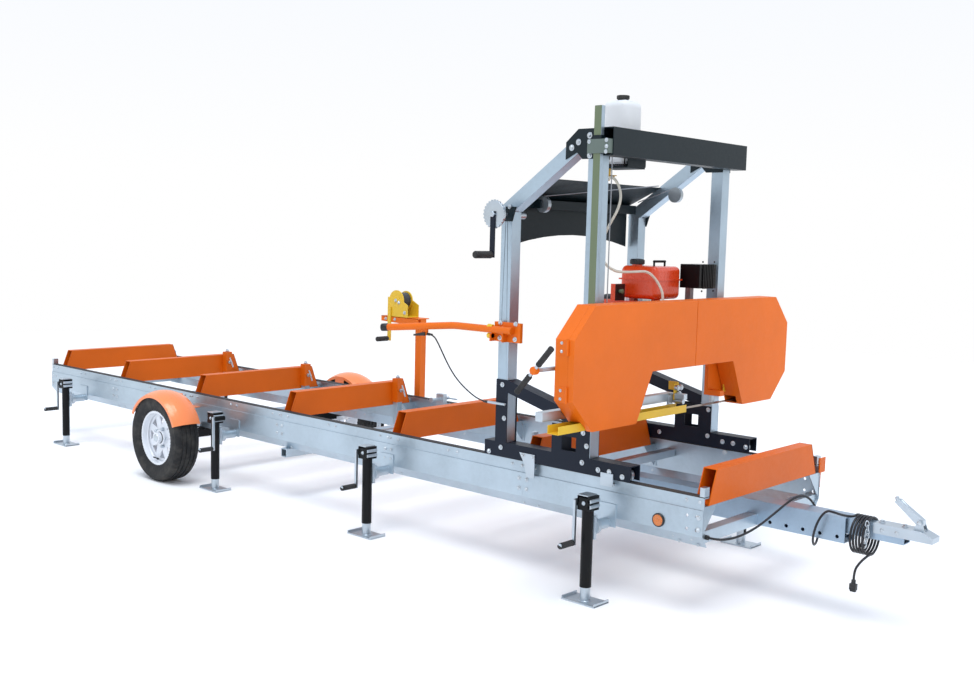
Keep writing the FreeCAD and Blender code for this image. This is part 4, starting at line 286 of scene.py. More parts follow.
CAST = plated("cast_alloy", rgb(168, 172, 176), 0.48)
RUBBER = moulded("black_rubber", rgb(22, 22, 24), 0.6)
TREAD = moulded("tyre_rubber", rgb(12, 13, 16), 0.72, 180, 0.0008, 0.2)
PLASTIC = moulded("black_plastic", rgb(16, 17, 20), 0.42)
SHEATH = moulded("cable_sheath", rgb(18, 20, 26), 0.4, 500, 0.0002, 0.05)
TANK = clear("tank_plastic", rgb(240, 243, 246), 0.4, 0.15, 0.6)
HOSE = clear("hose_plastic", rgb(232, 228, 214), 0.25, 0.35)
STRAP = webbing("winch_strap", rgb(34, 38, 44))
AMBER = lens("amber_lens", rgb(206, 110, 24))
CLIP = coat("clip_grey", rgb(96, 110, 104), 0.4)
BRASS = brushed("valve_brass", rgb(196, 160, 84), 0.35, (4, 4, 4))
SILVER = plated("pulley_zinc", rgb(170, 178, 184), 0.34)
WIRE = brushed("wire_rope", rgb(150, 154, 160), 0.4, (1, 1, 12))


# painting the CAD's own solids

class Patch:
    """A face or a solid, by its box in millimetres from the rails' front."""

    def __init__(self, low, high):
        self.low = [(low[0] - FRONT_X) / MM, (low[1] - CENTRE_Y) / MM, low[2] / MM]
        self.high = [(high[0] - FRONT_X) / MM, (high[1] - CENTRE_Y) / MM, high[2] / MM]
        self.mid = [(a + b) / 2 for a, b in zip(self.low, self.high)]
        self.size = [b - a for a, b in zip(self.low, self.high)]


def solids_of(mesh):
    """The number of the solid that each face belongs to: faces that share a place share a solid."""
    ids = {}
    corner = [ids.setdefault(tuple(round(c, 5) for c in v.co), len(ids)) for v in mesh.vertices]
    parent = list(range(len(ids)))

    def root(item):
        while parent[item] != item:
            parent[item] = parent[parent[item]]
            item = parent[item]
        return item

    for face in mesh.polygons:
        first = root(corner[face.vertices[0]])
        for index in face.vertices[1:]:
            parent[root(corner[index])] = first
    return [root(corner[face.vertices[0]]) for face in mesh.polygons]


def paint(name, base, *rules):
    """Gives a CAD node its finish, and other finishes to the faces for which a rule's test holds."""
    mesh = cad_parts[name].data
    mesh.materials.clear()
    for finish in (base,) + tuple(rule[0] for rule in rules):
        mesh.materials.append(finish)
    if not rules:
        return
    owner = solids_of(mesh)
    boxes = {}
    for face, solid in zip(mesh.polygons, owner):
        places = [mesh.vertices[index].co for index in face.vertices]
        low, high = boxes.get(solid, (places[0], places[0]))
        for place in places:
            low = [min(a, b) for a, b in zip(low, place)]
            high = [max(a, b) for a, b in zip(high, place)]
        boxes[solid] = (low, high)
    solids = {solid: Patch(*box) for solid, box in boxes.items()}
    for face, solid in zip(mesh.polygons, owner):
        places = [mesh.vertices[index].co for index in face.vertices]
        patch = Patch([min(p[k] for p in places) for k in range(3)],
                      [max(p[k] for p in places) for k in range(3)])
        for number, (finish, test) in enumerate(rules):
            if test(patch, solids[solid]):
                face.material_index = number + 1
                break


def soften(name, width, segments=2, angle=40):
    """Rounds the sharp edges of a CAD node's shown mesh."""
    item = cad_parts[name]
    weld = item.modifiers.new("Weld", "WELD")
    weld.merge_threshold = 0.00002
    bevel = item.modifiers.new("Bevel", "BEVEL")
    bevel.width = width * MM
    bevel.segments = segments
    bevel.limit_method = "ANGLE"
    bevel.angle_limit = math.radians(angle)
    bevel.use_clamp_overlap = True
    bevel.harden_normals = True


# building pieces

def facing(place, direction, turn=0.0):
    """A frame at a place whose Z looks along a direction."""
    lean = Vector(direction).normalized().to_track_quat("Z", "Y").to_matrix().to_4x4()
    return Matrix.Translation(place) @ lean @ Matrix.Rotation(turn, 4, "Z")


def stack(bm, where, rings, sides=24, closed=True, loop=False):
    """A turned form: rings of a radius and a distance along Z, in millimetres, joined in order."""
    made = []
    for radius, along in rings:
        ring = []
        for index in range(sides):
            angle = math.tau * index / sides
            spot = Vector((radius * MM * math.cos(angle), radius * MM * math.sin(angle), along * MM))
            ring.append(bm.verts.new(where @ spot))
        made.append(ring)
    pairs = list(zip(made, made[1:]))
    if loop:
        pairs.append((made[-1], made[0]))
    for low, high in pairs:
        for index in range(sides):
            after = (index + 1) % sides
            bm.faces.new((low[index], low[after], high[after], high[index]))
    if closed and not loop:
        bm.faces.new(list(reversed(made[0])))
        bm.faces.new(made[-1])


def slab(bm, where, size, lift=(0, 0, 0)):
    """A block of a size in millimetres about a place in a frame."""
    made = bmesh.ops.create_cube(bm, size=1)["verts"]
    for vert in made:
        vert.co = where @ Vector(((vert.co.x * size[0] + lift[0]) * MM, (vert.co.y * size[1] + lift[1]) * MM,
                                  (vert.co.z * size[2] + lift[2]) * MM))


def sheet_part(bm, outline, depth):
    """A plate from its outline, places in the frame, pushed through by a vector."""
    low = [bm.verts.new(place) for place in outline]
    high = [bm.verts.new(place + depth) for place in outline]
    bm.faces.new(low)
    bm.faces.new(list(reversed(high)))
    for index in range(len(low)):
        after = (index + 1) % len(low)
        bm.faces.new((low[after], low[index], high[index], high[after]))


def piece(name, bm, body, finish, rounding=0.0, segments=2, smooth=35):
    """Makes a mesh object of what was built, with its edges rounded, and seats it on its body."""
    bmesh.ops.recalc_face_normals(bm, faces=bm.faces)
    mesh = bpy.data.meshes.new(name)
    bm.to_mesh(mesh)
    bm.free()
    item = bpy.data.objects.new(name, mesh)
    bpy.context.scene.collection.objects.link(item)
    mesh.materials.append(finish)
    if rounding:
        bevel = item.modifiers.new("Bevel", "BEVEL")
        bevel.width = rounding * MM
        bevel.segments = segments
        bevel.limit_method = "ANGLE"
        bevel.angle_limit = math.radians(30)
    for face in mesh.polygons:
        face.use_smooth = True
    mesh.set_sharp_from_angle(angle=math.radians(smooth))
    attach(item, body)
    return item


def spline_piece(name, points, radius, body, finish, order=3, sides=3, cyclic=False):
    """A round line along one NURBS spline through control points in the frame."""
    data = bpy.data.curves.new(name, "CURVE")
    data.dimensions = "3D"
    data.bevel_depth = radius * MM
    data.bevel_resolution = sides
    data.resolution_u = 6
    data.use_fill_caps = True
    spline = data.splines.new("NURBS")
    spline.points.add(len(points) - 1)
    for spot, place in zip(spline.points, points):
        spot.co = (*place, 1)
    spline.order_u = order
    spline.use_endpoint_u = not cyclic
    spline.use_cyclic_u = cyclic
    item = bpy.data.objects.new(name, data)
    bpy.context.scene.collection.objects.link(item)
    data.materials.append(finish)
    if body:
        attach(item, body)
    return item


def bolt(bm, place, direction, radius=7, turn=0.3):
    """A flanged hex bolt: a washer face, a hex head with its corners turned off, and a shallow dimple."""
    where = facing(place, direction, turn)
    stack(bm, where, [(radius * 1.5, -0.4), (radius * 1.5, radius * 0.2), (radius * 1.25, radius * 0.34)], 20)
    stack(bm, where, [(radius, radius * 0.3), (radius, radius * 0.9), (radius * 0.82, radius * 1.08),
                      (radius * 0.5, radius * 1.0)], 6)


def bolts(name, body, places, direction, radius=7):
    bm = bmesh.new()
    for index, place in enumerate(places):
        bolt(bm, place, direction, radius, index * 0.7)
    return piece(name, bm, body, BOLT)


def ribbed_grip(bm, start, end, radius, ribs=9):
    """A moulded grip from start to end with rounded ends and shallow ribs."""
    run = (end - start).length / MM
    rings = [(radius * 0.5, 0), (radius * 0.9, 1), (radius, radius * 0.3)]
    for index in range(ribs):
        along = run * (0.12 + 0.76 * index / ribs)
        step = run * 0.76 / ribs
        rings += [(radius, along), (radius * 0.9, along + step * 0.25), (radius * 0.9, along + step * 0.6),
                  (radius, along + step * 0.85)]
    rings += [(radius, run - radius * 0.3), (radius * 0.9, run - 1), (radius * 0.5, run)]
    stack(bm, facing(start, end - start), rings, 20)


# camera, floor and lights

CAMERA_PLACE = (2309.4, -4362.5, 1548.6)
CAMERA_YAW, CAMERA_PITCH, CAMERA_ROLL = 42.434, 5.947, 1.485
FOCAL_PIXELS, PHOTO_WIDTH, SENSOR = 1110.84, 974, 36


def camera():
    data = bpy.data.cameras.new("camera")
    data.sensor_width = SENSOR
    data.lens = FOCAL_PIXELS / PHOTO_WIDTH * SENSOR
    data.clip_end = 200
    yaw, pitch, roll = (math.radians(angle) for angle in (CAMERA_YAW, CAMERA_PITCH, CAMERA_ROLL))
    ahead = Vector((-math.sin(yaw) * math.cos(pitch), math.cos(yaw) * math.cos(pitch), -math.sin(pitch)))
    level = Vector((math.cos(yaw), math.sin(yaw), 0))
    above = level.cross(ahead)
    right = math.cos(roll) * level + math.sin(roll) * above
    up = math.cos(roll) * above - math.sin(roll) * level
    item = bpy.data.objects.new("camera", data)
    turn = Matrix((right, up, -ahead)).transposed().to_4x4()
    item.matrix_world = Matrix.Translation(at(*CAMERA_PLACE)) @ turn
    bpy.context.scene.collection.objects.link(item)
    bpy.context.scene.camera = item


def floor_and_lights():
    """A pale round floor that fades at its edge into an even pale surround, and soft lights from above."""
    radius = 14
    bm = bmesh.new()
    bmesh.ops.create_circle(bm, cap_ends=True, segments=96, radius=radius)
    mesh = bpy.data.meshes.new("floor")
    bm.to_mesh(mesh)
    bm.free()
    item = bpy.data.objects.new("floor", mesh)
    bpy.context.scene.collection.objects.link(item)
    item.location.z = -0.0005
    made, tree, bsdf = shader("floor_paper", rgb(250, 250, 250), 0.9)
    bsdf.inputs["Specular IOR Level"].default_value = 0.1
    place = node(tree, "ShaderNodeTexCoord").outputs["Object"]
    away = node(tree, "ShaderNodeVectorMath", {0: place}, operation="LENGTH").outputs["Value"]
    tree.links.new(ranged(tree, away, radius * 0.3, radius * 0.8, 1, 0), bsdf.inputs["Alpha"])
    mesh.materials.append(made)

    world = bpy.data.worlds.new("studio")
    bpy.context.scene.world = world
    world.use_nodes = True
    tree = world.node_tree
    back = tree.nodes["Background"]
    heading = node(tree, "ShaderNodeTexCoord").outputs["Generated"]
    height = node(tree, "ShaderNodeSeparateXYZ", {"Vector": heading}).outputs["Z"]
    sky = blended(tree, ranged(tree, height, 0.05, 0.75, 0, 1), (1, 1, 1, 1), (0.74, 0.84, 1.0, 1))
    tree.links.new(sky, back.inputs["Color"])
    back.inputs["Strength"].default_value = 1.0

    sun = bpy.data.lights.new("high_sun", "SUN")
    sun.energy = 1.6
    sun.angle = math.radians(34)
    item = bpy.data.objects.new("high_sun", sun)
    item.rotation_euler = (math.radians(14), math.radians(10), 0)
    bpy.context.scene.collection.objects.link(item)
    bpy.context.scene.view_settings.view_transform = "Standard"


# cords, in millimetres; the light cord's free stretches repeat the route of its CAD solids

CORD_RADIUS, THROTTLE_RADIUS = 5, 3.5
LEAD_ROUTE = [
    (2, -470, 340), (44, -470, 340), (78, -420, 342), (96, -342, 352), (112, -262, 374), (126, -184, 406),
    (140, -108, 440), (154, -36, 469), (172, 38, 468), (192, 92, 412), (212, 92, 334), (230, 38, 277),
    (250, -38, 275), (270, -92, 332), (290, -92, 405), (312, -66, 446), (350, -74, 446), (384, -76, 442),
    (408, -56, 437), (414.4, -32, 434.6), (415, -10, 434.5),
]
TAIL_ROUTE = [
    (486.7, -10, 284.5), (487.7, -48, 284.5), (474, -82, 262), (458, -92, 228), (458, -92, 192),
]
COIL_RADIUS, COIL_TURNS, COIL_PITCH, COIL_STEPS = 75, 5.5, 13, 16
THROTTLE_ROUTE = [
    (-1508, -616, 1062), (-1468, -616, 1062), (-1436, -616, 1028), (-1400, -613, 972), (-1362, -607, 912),
    (-1318, -598, 858), (-1266, -580, 810), (-1212, -552, 768), (-1160, -552, 768),
]


def light_cord():
    """The trailer light cord: lead, coil round the drawbar and tail down to its plug, on one spline."""
    top = Vector(LEAD_ROUTE[-1])
    straight = CORD_RADIUS * 2
    # control points this far outside the turns bring the smooth line back to the turns' own radius
    outside = COIL_RADIUS / math.cos(math.pi / COIL_STEPS) ** 2
    turns = []
    for index in range(int(COIL_TURNS * COIL_STEPS) + 1):
        angle = math.tau * index / COIL_STEPS
        turns.append((top.x + COIL_PITCH * angle / math.tau, top.y + straight + outside * math.sin(angle),
                      top.z - COIL_RADIUS + outside * math.cos(angle)))
    points = [at(*place) for place in LEAD_ROUTE + turns + TAIL_ROUTE]
    cord = spline_piece("light_cord", points, CORD_RADIUS, "trailer", SHEATH)
    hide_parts("harness_lead", "harness_coil")
    plug = light_plug()


def light_plug():
    """A flat trailer plug: a tapered strain relief, a ribbed body and its pin face."""
    low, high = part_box("harness_plug")
    x, y = (low.x + high.x) / 2, (low.y + high.y) / 2
    length = (high.z - low.z) / MM
    bm = bmesh.new()
    where = facing(Vector((x, y, high.z)), (0, 0, -1))
    stack(bm, where, [(CORD_RADIUS * 1.1, 0), (CORD_RADIUS * 1.5, length * 0.1),
                      (CORD_RADIUS * 1.6, length * 0.3), (CORD_RADIUS * 1.9, length * 0.34)], 20)
    for index in range(4):
        stack(bm, where, [(CORD_RADIUS * 1.9, length * (0.05 + 0.07 * index)),
                          (CORD_RADIUS * 1.9, length * (0.08 + 0.07 * index))], 20)
    slab(bm, where, (length * 0.54, length * 0.36, length * 0.5), (0, 0, length * 0.6))
    slab(bm, where, (length * 0.3, length * 0.42, length * 0.26), (0, 0, length * 0.52))
    slab(bm, where, (length * 0.44, length * 0.26, length * 0.14), (0, 0, length * 0.92))
    plug = piece("light_plug", bm, "trailer", PLASTIC, rounding=1.2)
    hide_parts("harness_plug")
    return plug


def throttle_cable():
    points = [at(*place) for place in THROTTLE_ROUTE]
    cable = spline_piece("throttle_sheath", points, THROTTLE_RADIUS, "carriage", SHEATH)
    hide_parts("throttle_cable")
    bm = bmesh.new()
    for first, second, run in ((points[0], points[1], 34), (points[-1], points[-2], 30)):
        stack(bm, facing(first, second - first), [(6.5, -1), (6.5, run * 0.5), (5, run * 0.6), (4.6, run)],
              18)
    piece("throttle_ferrules", bm, "carriage", PLASTIC, rounding=0.5)


camera()
floor_and_lights()
light_cord()
throttle_cable()


# finishes of the CAD's own pieces

def grip_of_jack(face, solid):
    return face.high[2] < 262 and min(abs(face.low[1]), abs(face.high[1])) > 695


def paint_trailer():
    paint("bed_rails", GALVANISED)
    paint("running_strips", RUBBER)
    paint("log_bunks", BUNK)
    paint("cross_members", GALVANISED, (PLASTIC, lambda face, solid: solid.low[0] > -60
                                        and abs(solid.mid[1] + 470) < 4 and solid.size[1] < 40),
          (BRIGHT, lambda face, solid: solid.size[1] > 900 and solid.size[2] < 40 or solid.size[0] < 30))
    paint("axle_beam", BLACK)
    paint("fenders", FENDER)
    paint("rail_end_stop", BUNK)
    paint("trailer_tongue", TONGUE_ZINC)
    paint("coupler_body", BRIGHT)
    paint("coupler_latch", BRIGHT)
    paint("winch_post", ORANGE)
    paint("winch_frame", YELLOW)
    paint("winch_drum", YELLOW)
    paint("winch_crank", YELLOW, (RUBBER, lambda face, solid: face.high[1] < 490))
    for side in ("near", "far"):
        paint(f"{side}_tyre", TREAD)
        paint(f"{side}_rim", WHITE, (BRIGHT, lambda face, solid: solid.size[0] < 60))
    for number in (1, 2, 3):
        paint(f"log_support_{number}", BUNK)
    for number in (1, 2, 3, 4):
        paint(f"jack_housing_{number}", BLACK,
              (BRIGHT, lambda face, solid: max(abs(face.low[1]), abs(face.high[1])) < 641))
        paint(f"jack_leg_{number}", BRIGHT)
        paint(f"jack_crank_{number}", BRIGHT, (RUBBER, grip_of_jack))
    paint("log_clamp", BRIGHT)
    paint("harness_plug", PLASTIC)
    paint("harness_lead", SHEATH)
    paint("harness_coil", SHEATH)


def paint_carriage():
    paint("carriage_frames", SLATE,
          (BRIGHT, lambda face, solid: min(abs(solid.low[1]), abs(solid.high[1])) >= 535.5
           or solid.size[0] < 30))
    paint("carriage_posts", POST_ZINC,
          (OLIVE, lambda face, solid: solid.size[2] > 1000 and solid.low[1] < -555 and face.high[1] < -560))
    paint("top_frame", BEAM,
          (BRIGHT, lambda face, solid: solid.high[1] < -536 and solid.size[0] < 50 and solid.low[2] > 1850),
          (SILVER, lambda face, solid: 70 < solid.size[0] < 80 and solid.size[1] < 24))
    paint("water_tank", TANK, (PLASTIC, lambda face, solid: solid.low[2] > 2158),
          (BRASS, lambda f, solid: solid.high[2] < 1870))
    paint("front_rollers", BRIGHT)
    paint("rear_rollers", BRIGHT)
    paint("height_crank", BRIGHT,
          (RUBBER, lambda face, solid: face.high[1] < -631),
          (SLATE, lambda face, solid: face.high[1] < -622 and face.high[2] < 1660))
    paint("push_handle", ORANGE, (BRIGHT, lambda face, solid: solid.low[0] > -1200 and solid.high[2] < 800))
    paint("throttle_lever", PLASTIC)
    paint("throttle_cable", SHEATH)


def paint_head():
    paint("head_frame", ORANGE, (BRIGHT, lambda face, solid: solid.high[2] < 860 and solid.low[1] > -1000
                                 and solid.size[2] < 80))
    paint("guard_shell", ORANGE)
    paint("left_door", ORANGE)
    paint("right_door", ORANGE)
    paint("drive_wheel", CAST)
    paint("idler_wheel", CAST)
    paint("blade", BLADE)
    paint("drive_belt", RUBBER)
    paint("guide_arm", BRIGHT, (PLASTIC, lambda face, solid: solid.high[1] < -900))
    paint("blade_cover", YELLOW)
    paint("tension_handle", ORANGE, (BRIGHT, lambda face, solid: face.low[1] > -960))
    paint("engine_block", ENGINE,
          (PLASTIC, lambda face, solid: solid.high[1] < 0 and solid.low[2] > 1200 and face.low[0] > -791),
          (BLACK, lambda face, solid: solid.low[0] > -655 and solid.low[2] > 1300),
          (PLASTIC, lambda face, solid: solid.low[2] > 1270),
          (CAST, lambda face, solid: solid.low[1] > 200 and solid.high[2] < 1260),
          (BLACK, lambda face, solid: solid.low[0] < -960),
          (CAST, lambda face, solid: solid.low[0] > -650 or solid.low[1] > 300))
    paint("fuel_tank", ENGINE, (PLASTIC, lambda face, solid: solid.low[2] > 1420))


paint_trailer()
paint_carriage()
paint_head()

SOFT_EDGES = {
    "log_bunks": 4, "carriage_posts": 2.5, "winch_post": 1.5, "coupler_body": 3, "left_door": 2,
    "right_door": 2, "carriage_frames": 1, "blade_cover": 0.8, "guide_arm": 1, "log_support_1": 1.2,
    "log_support_2": 1.2, "log_support_3": 1.2, "rail_end_stop": 1.2, "winch_frame": 0.8, "throttle_lever": 1,
}
for name, width in SOFT_EDGES.items():
    soften(name, width)


# trailer details

def rail_hardware():
    """Bolts on both rails: strip pairs, splice quads and flange rows; and an amber reflector on each side."""
    for side, label in ((NEAR, "near"), (FAR, "far")):
        strip, web, flange = [], [], []
        for index in range(1, 6):
            x = seam(index)
            strip += [at(x + step, RAIL_STRIP * side, 490) for step in (-70, -10, 10, 70)]
            web += [at(x + step, RAIL_WEB * side, z) for step in (-23, 23) for z in (384, 430)]
            flange += [at(x + step, (RAIL_FLANGE + 3) * side, 333) for step in (-63, 30)]
            flange += [at(x + step, (RAIL_FLANGE - 7) * side, 312) for step in (-10, 76)]
        for index in range(6):
            x = (seam(index) + seam(index + 1)) / 2
            strip += [at(x + step, RAIL_STRIP * side, 490) for step in (-30, 30)]
            flange += [at(x + step, (RAIL_FLANGE + 3) * side, 333) for step in (-116, -55, 35)]
        strip += [at(x, RAIL_STRIP * side, 491) for x in (-20, -81, seam(6) + 20, seam(6) + 81)]
        web += [at(x, RAIL_WEB * side, z) for x in (-21, seam(6) + 21) for z in (377, 427)]
        flange += [at(x, (RAIL_FLANGE + 2) * side, 329) for x in (-147, -58)]
        flange += [at(x, (RAIL_FLANGE - 8) * side, 306) for x in (-124, -35)]
        bolts(f"{label}_strip_bolts", "trailer", strip, (0, side, 0), 5.5)
        bolts(f"{label}_splice_bolts", "trailer", web, (0, side, 0), 7)
        bolts(f"{label}_flange_bolts", "trailer", flange, (0, side, -0.55), 5)
        where = facing(at(-211, RAIL_WEB * side, 382), (0, side, 0))
        bm = bmesh.new()
        stack(bm, where, [(29, -0.5), (29, 6), (27, 8.5), (24.5, 8.5), (24, 6)], 40)
        piece(f"{label}_reflector_bezel", bm, "trailer", PLASTIC)
        bm = bmesh.new()
        stack(bm, where, [(23.8, 6), (23.8, 8), (20, 9.2), (8, 9.8), (7, 9.2), (3, 9.4)], 40)
        piece(f"{label}_reflector_lens", bm, "trailer", AMBER)


def tyre(label):
    """A road tyre: a rounded case with four tread grooves, slots in the shoulders and sidewall rings."""
    low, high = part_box(f"{label}_tyre")
    centre = (low + high) / 2
    outer = (high.x - low.x) / 2 / MM
    half = (high.y - low.y) / 2 / MM
    rim_low, rim_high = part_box(f"{label}_rim")
    bead = (rim_high.x - rim_low.x) / 2 / MM
    groove, slot = outer * 0.022, outer * 0.014
    profile = [(bead - 2, 0.62), (bead + 2, 0.78), (bead + 8, 0.84), (bead + 9.5, 0.86), (bead + 12, 0.87)]
    for share, across in ((0.76, 0.95), (0.8, 0.985), (0.812, 0.978), (0.84, 1.0), (0.88, 0.99),
                          (0.905, 0.975), (0.912, 0.985), (0.935, 0.955), (0.96, 0.9), (0.982, 0.82)):
        profile.append((outer * share, across))
    profile += [(outer * 0.992, 0.74), (outer * 0.996, 0.64), (outer * 0.998, 0.58), (outer - groove, 0.565),
                (outer - groove, 0.475), (outer * 0.998, 0.46), (outer, 0.24), (outer - groove, 0.225),
                (outer - groove, 0.135), (outer, 0.12)]
    mirrored = [(radius, -across) for radius, across in reversed(profile)]
    rows = profile + mirrored
    steps = 216
    bm = bmesh.new()
    rings = []
    for radius, across in rows:
        ring = []
        for index in range(steps):
            angle = math.tau * index / steps
            cut = slot if (0.58 < abs(across) < 0.93 and index % 4 == 0) else 0
            if 0.2 < abs(across) < 0.5 and radius > outer * 0.99 and index % 6 == 3:
                cut = slot * 0.5
            reach = (radius - cut) * MM
            ring.append(bm.verts.new((centre.x + reach * math.cos(angle), centre.y + across * half * MM,
                                      centre.z + reach * math.sin(angle))))
        rings.append(ring)
    for first, second in zip(rings, rings[1:]):
        for index in range(steps):
            after = (index + 1) % steps
            bm.faces.new((first[index], first[after], second[after], second[index]))
    inner = rings[0], rings[-1]
    for index in range(steps):
        after = (index + 1) % steps
        bm.faces.new((inner[1][index], inner[1][after], inner[0][after], inner[0][index]))
    item = piece(f"{label}_road_tyre", bm, f"{label}_wheel", TREAD, smooth=50)
    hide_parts(f"{label}_tyre")


def wheel_details(side, label):
    """The rim's rolled flanges and well, the valve, and the bearing cap over the black hub."""
    low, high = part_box(f"{label}_rim")
    tyre_low, tyre_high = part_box(f"{label}_tyre")
    centre = (tyre_low + tyre_high) / 2
    bead = (high.x - low.x) / 2 / MM
    half = 52
    bm = bmesh.new()
    where = facing(centre, (0, side, 0))
    ring = [(bead - 1, half + 5), (bead + 5, half + 7), (bead + 7, half + 4), (bead + 4, half),
            (bead - 5, half - 5), (bead - 7, half - 16), (bead - 15, half - 26), (bead - 19, half - 26),
            (bead - 10, half - 14), (bead - 8, half - 2)]
    stack(bm, where, ring, 96, loop=True)
    piece(f"{label}_rim_flange", bm, f"{label}_wheel", WHITE)
    bm = bmesh.new()
    stack(bm, where, [(36, 20), (36, 38), (33, 42), (30, 43)], 40)
    piece(f"{label}_hub_shell", bm, f"{label}_wheel", BLACK)
    bm = bmesh.new()
    stack(bm, where, [(25, 42), (25, 54), (27, 56), (27, 59), (24, 61), (22, 66), (14, 69), (4, 70)], 40)
    for index in range(5):
        angle = math.tau * index / 5
        spot = centre + Vector((math.cos(angle) * 0.057, side * 0.03, math.sin(angle) * 0.057))
        stack(bm, facing(spot, (0, side, 0)), [(9.5, -4), (9.5, 8), (7.5, 12), (4, 14)], 6)
    piece(f"{label}_hub_cap", bm, f"{label}_wheel", BOLT)
    bm = bmesh.new()
    angle = math.radians(255)
    spot = centre + Vector((math.cos(angle) * (bead - 24) * MM, side * 0.03,
                            math.sin(angle) * (bead - 24) * MM))
    stack(bm, facing(spot, (-math.cos(angle) * 0.5, side, -math.sin(angle) * 0.5)),
          [(5.5, -6), (5, 2), (3.4, 6), (3.4, 22), (4.2, 23), (4.2, 32), (3, 34)], 16)
    piece(f"{label}_valve", bm, f"{label}_wheel", RUBBER)


rail_hardware()
for side, label in ((NEAR, "near"), (FAR, "far")):
    tyre(label)
    wheel_details(side, label)


# jacks, log supports, drawbar and winch

JACKS = (seam(5) - 435, seam(4) + 62 + 418, seam(2) - 5, -476)
JACK_REACH, HEAD_LOW, HEAD_HIGH, JACK_TUBE = 655, 400, 462, 25.4
CRANK_LEVEL, CRANK_OFFSET, CRANK_DROP = 430, 40, 174


def jack_details():
    """On every jack: a bolt, a plated cover with two rolled edges, turned-up foot ends and a ribbed grip."""
    for number, x in enumerate(JACKS, start=1):
        bands, caps, feet, grips = bmesh.new(), bmesh.new(), bmesh.new(), bmesh.new()
        for side in (NEAR, FAR):
            y = JACK_REACH * side
            column = facing(at(x, y, 0), (0, 0, 1))
            slab(caps, column, (56, 66, 12), (6, 0, HEAD_HIGH - 2))
            slab(caps, column, (8, 66, 44), (30, 0, HEAD_HIGH - 22))
            for low in (HEAD_HIGH - 44, HEAD_HIGH - 20):
                stack(caps, facing(at(x + 30, y - 33, low), (0, 1, 0)), [(8, 0), (9, 1), (9, 65), (8, 66)],
                      20)
            bolt(bands, at(x, y + 33 * side, (HEAD_LOW + HEAD_HIGH) / 2), (0, side, 0), 6)
            stack(feet, column, [(JACK_TUBE + 4, 5), (JACK_TUBE + 4, 7), (24, 8.5)], 32)
            for end in (-1, 1):
                slab(feet, column, (5, 104, 15), (85 * end, 0, 9))
            crank_x = x + CRANK_OFFSET if number == 2 else x - CRANK_OFFSET
            start = at(crank_x, y + 46 * side, CRANK_LEVEL - CRANK_DROP)
            ribbed_grip(grips, start, start + Vector((0, 88 * side * MM, 0)), 13.5)
        piece(f"jack_bands_{number}", bands, f"jacks_{number}", BRIGHT, rounding=0.4)
        piece(f"jack_caps_{number}", caps, f"jacks_{number}", BRIGHT, rounding=2.5)
        piece(f"jack_foot_ends_{number}", feet, f"jack_feet_{number}", BRIGHT, rounding=1)
        piece(f"jack_grips_{number}", grips, f"jack_cranks_{number}", RUBBER)


def support_details():
    """On every log support: a T-handled locking screw on its face and a round knob on its top."""
    for number, index in enumerate((5, 4, 3), start=1):
        x, y, top = seam(index) + 58, 345, 640
        bm = bmesh.new()
        screw = facing(at(x + 24, y, top - 74), (1, 0, 0))
        stack(bm, screw, [(11, 0), (11, 9), (6, 10), (6, 34)], 20)
        stack(bm, facing(at(x + 54, y - 14, top - 38), (0, 0.36, -0.93)), [(3, 0), (5, 1), (5, 77),
                                                                           (3, 78)], 16)
        piece(f"support_screw_{number}", bm, f"support_{number}", BRIGHT)
        bm = bmesh.new()
        stack(bm, facing(at(x, y, top), (0, 0, 1)), [(12, -1), (13, 2), (13, 9), (8, 12), (8, 18), (5, 22)],
              24)
        piece(f"support_knob_{number}", bm, f"support_{number}", BRIGHT)


def chain(name, points, link, wire, body):
    """Oval links one after the other, each turned a quarter from the one before."""
    bm = bmesh.new()
    count = 0
    for first, second in zip(points, points[1:]):
        run = second - first
        links = max(1, round(run.length / (link * MM * 0.72)))
        for index in range(links):
            middle = first + run * ((index + 0.5) / links)
            where = facing(middle, run, math.pi / 2 * (count % 2))
            rings = []
            for step in range(14):
                angle = math.tau * step / 14
                across, along = math.cos(angle) * link * 0.3, math.sin(angle) * link * 0.5
                spot = Vector((across, 0, along))
                out = Vector((math.cos(angle), 0, math.sin(angle)))
                rings.append([bm.verts.new(where @ ((spot + out * wire * math.cos(turn)
                                                     + Vector((0, wire * math.sin(turn), 0))) * MM))
                              for turn in (0, math.tau / 5, math.tau * 0.4, math.tau * 0.6, math.tau * 0.8)])
            for one, two in zip(rings, rings[1:] + rings[:1]):
                for corner in range(5):
                    after = (corner + 1) % 5
                    bm.faces.new((one[corner], one[after], two[after], two[corner]))
            count += 1
    return piece(name, bm, body, BOLT)


def drawbar_details():
    """The coupler's bolts, the latch's pins and bent tip, and the safety chain."""
    bolts("coupler_top_bolts", "trailer", [at(524, 0, 426), at(618, 0, 426)], (0, 0, 1), 9)
    bolts("coupler_side_bolts", "trailer",
          [at(x, side * 37, 402) for x in (540, 600) for side in (NEAR, FAR)], (0, -1, 0), 6)
    chain("safety_chain", [at(484, -56, 428), at(490, -60, 380), at(478, -62, 322)], 26, 2.6, "trailer")
    bm = bmesh.new()
    for side in (NEAR, FAR):
        stack(bm, facing(at(680, side * 20, 455), (0, side, 0)), [(9, -6), (9, 3), (6, 5)], 24)
    piece("coupler_pin", bm, "trailer", BOLT)
    bm = bmesh.new()
    slab(bm, facing(at(588, 0, 522), (0.78, 0, -0.62)), (14, 30, 74), (4, 0, 34))
    slab(bm, facing(at(581, 0, 528), (1, 0, 0.3)), (10, 30, 16))
    piece("latch_grip", bm, "latch", BRIGHT, rounding=3)


WINCH_X, WINCH_Y, WINCH_BASE = seam(3) + 40 + 24.5 - 345 + 136, 553, 1006


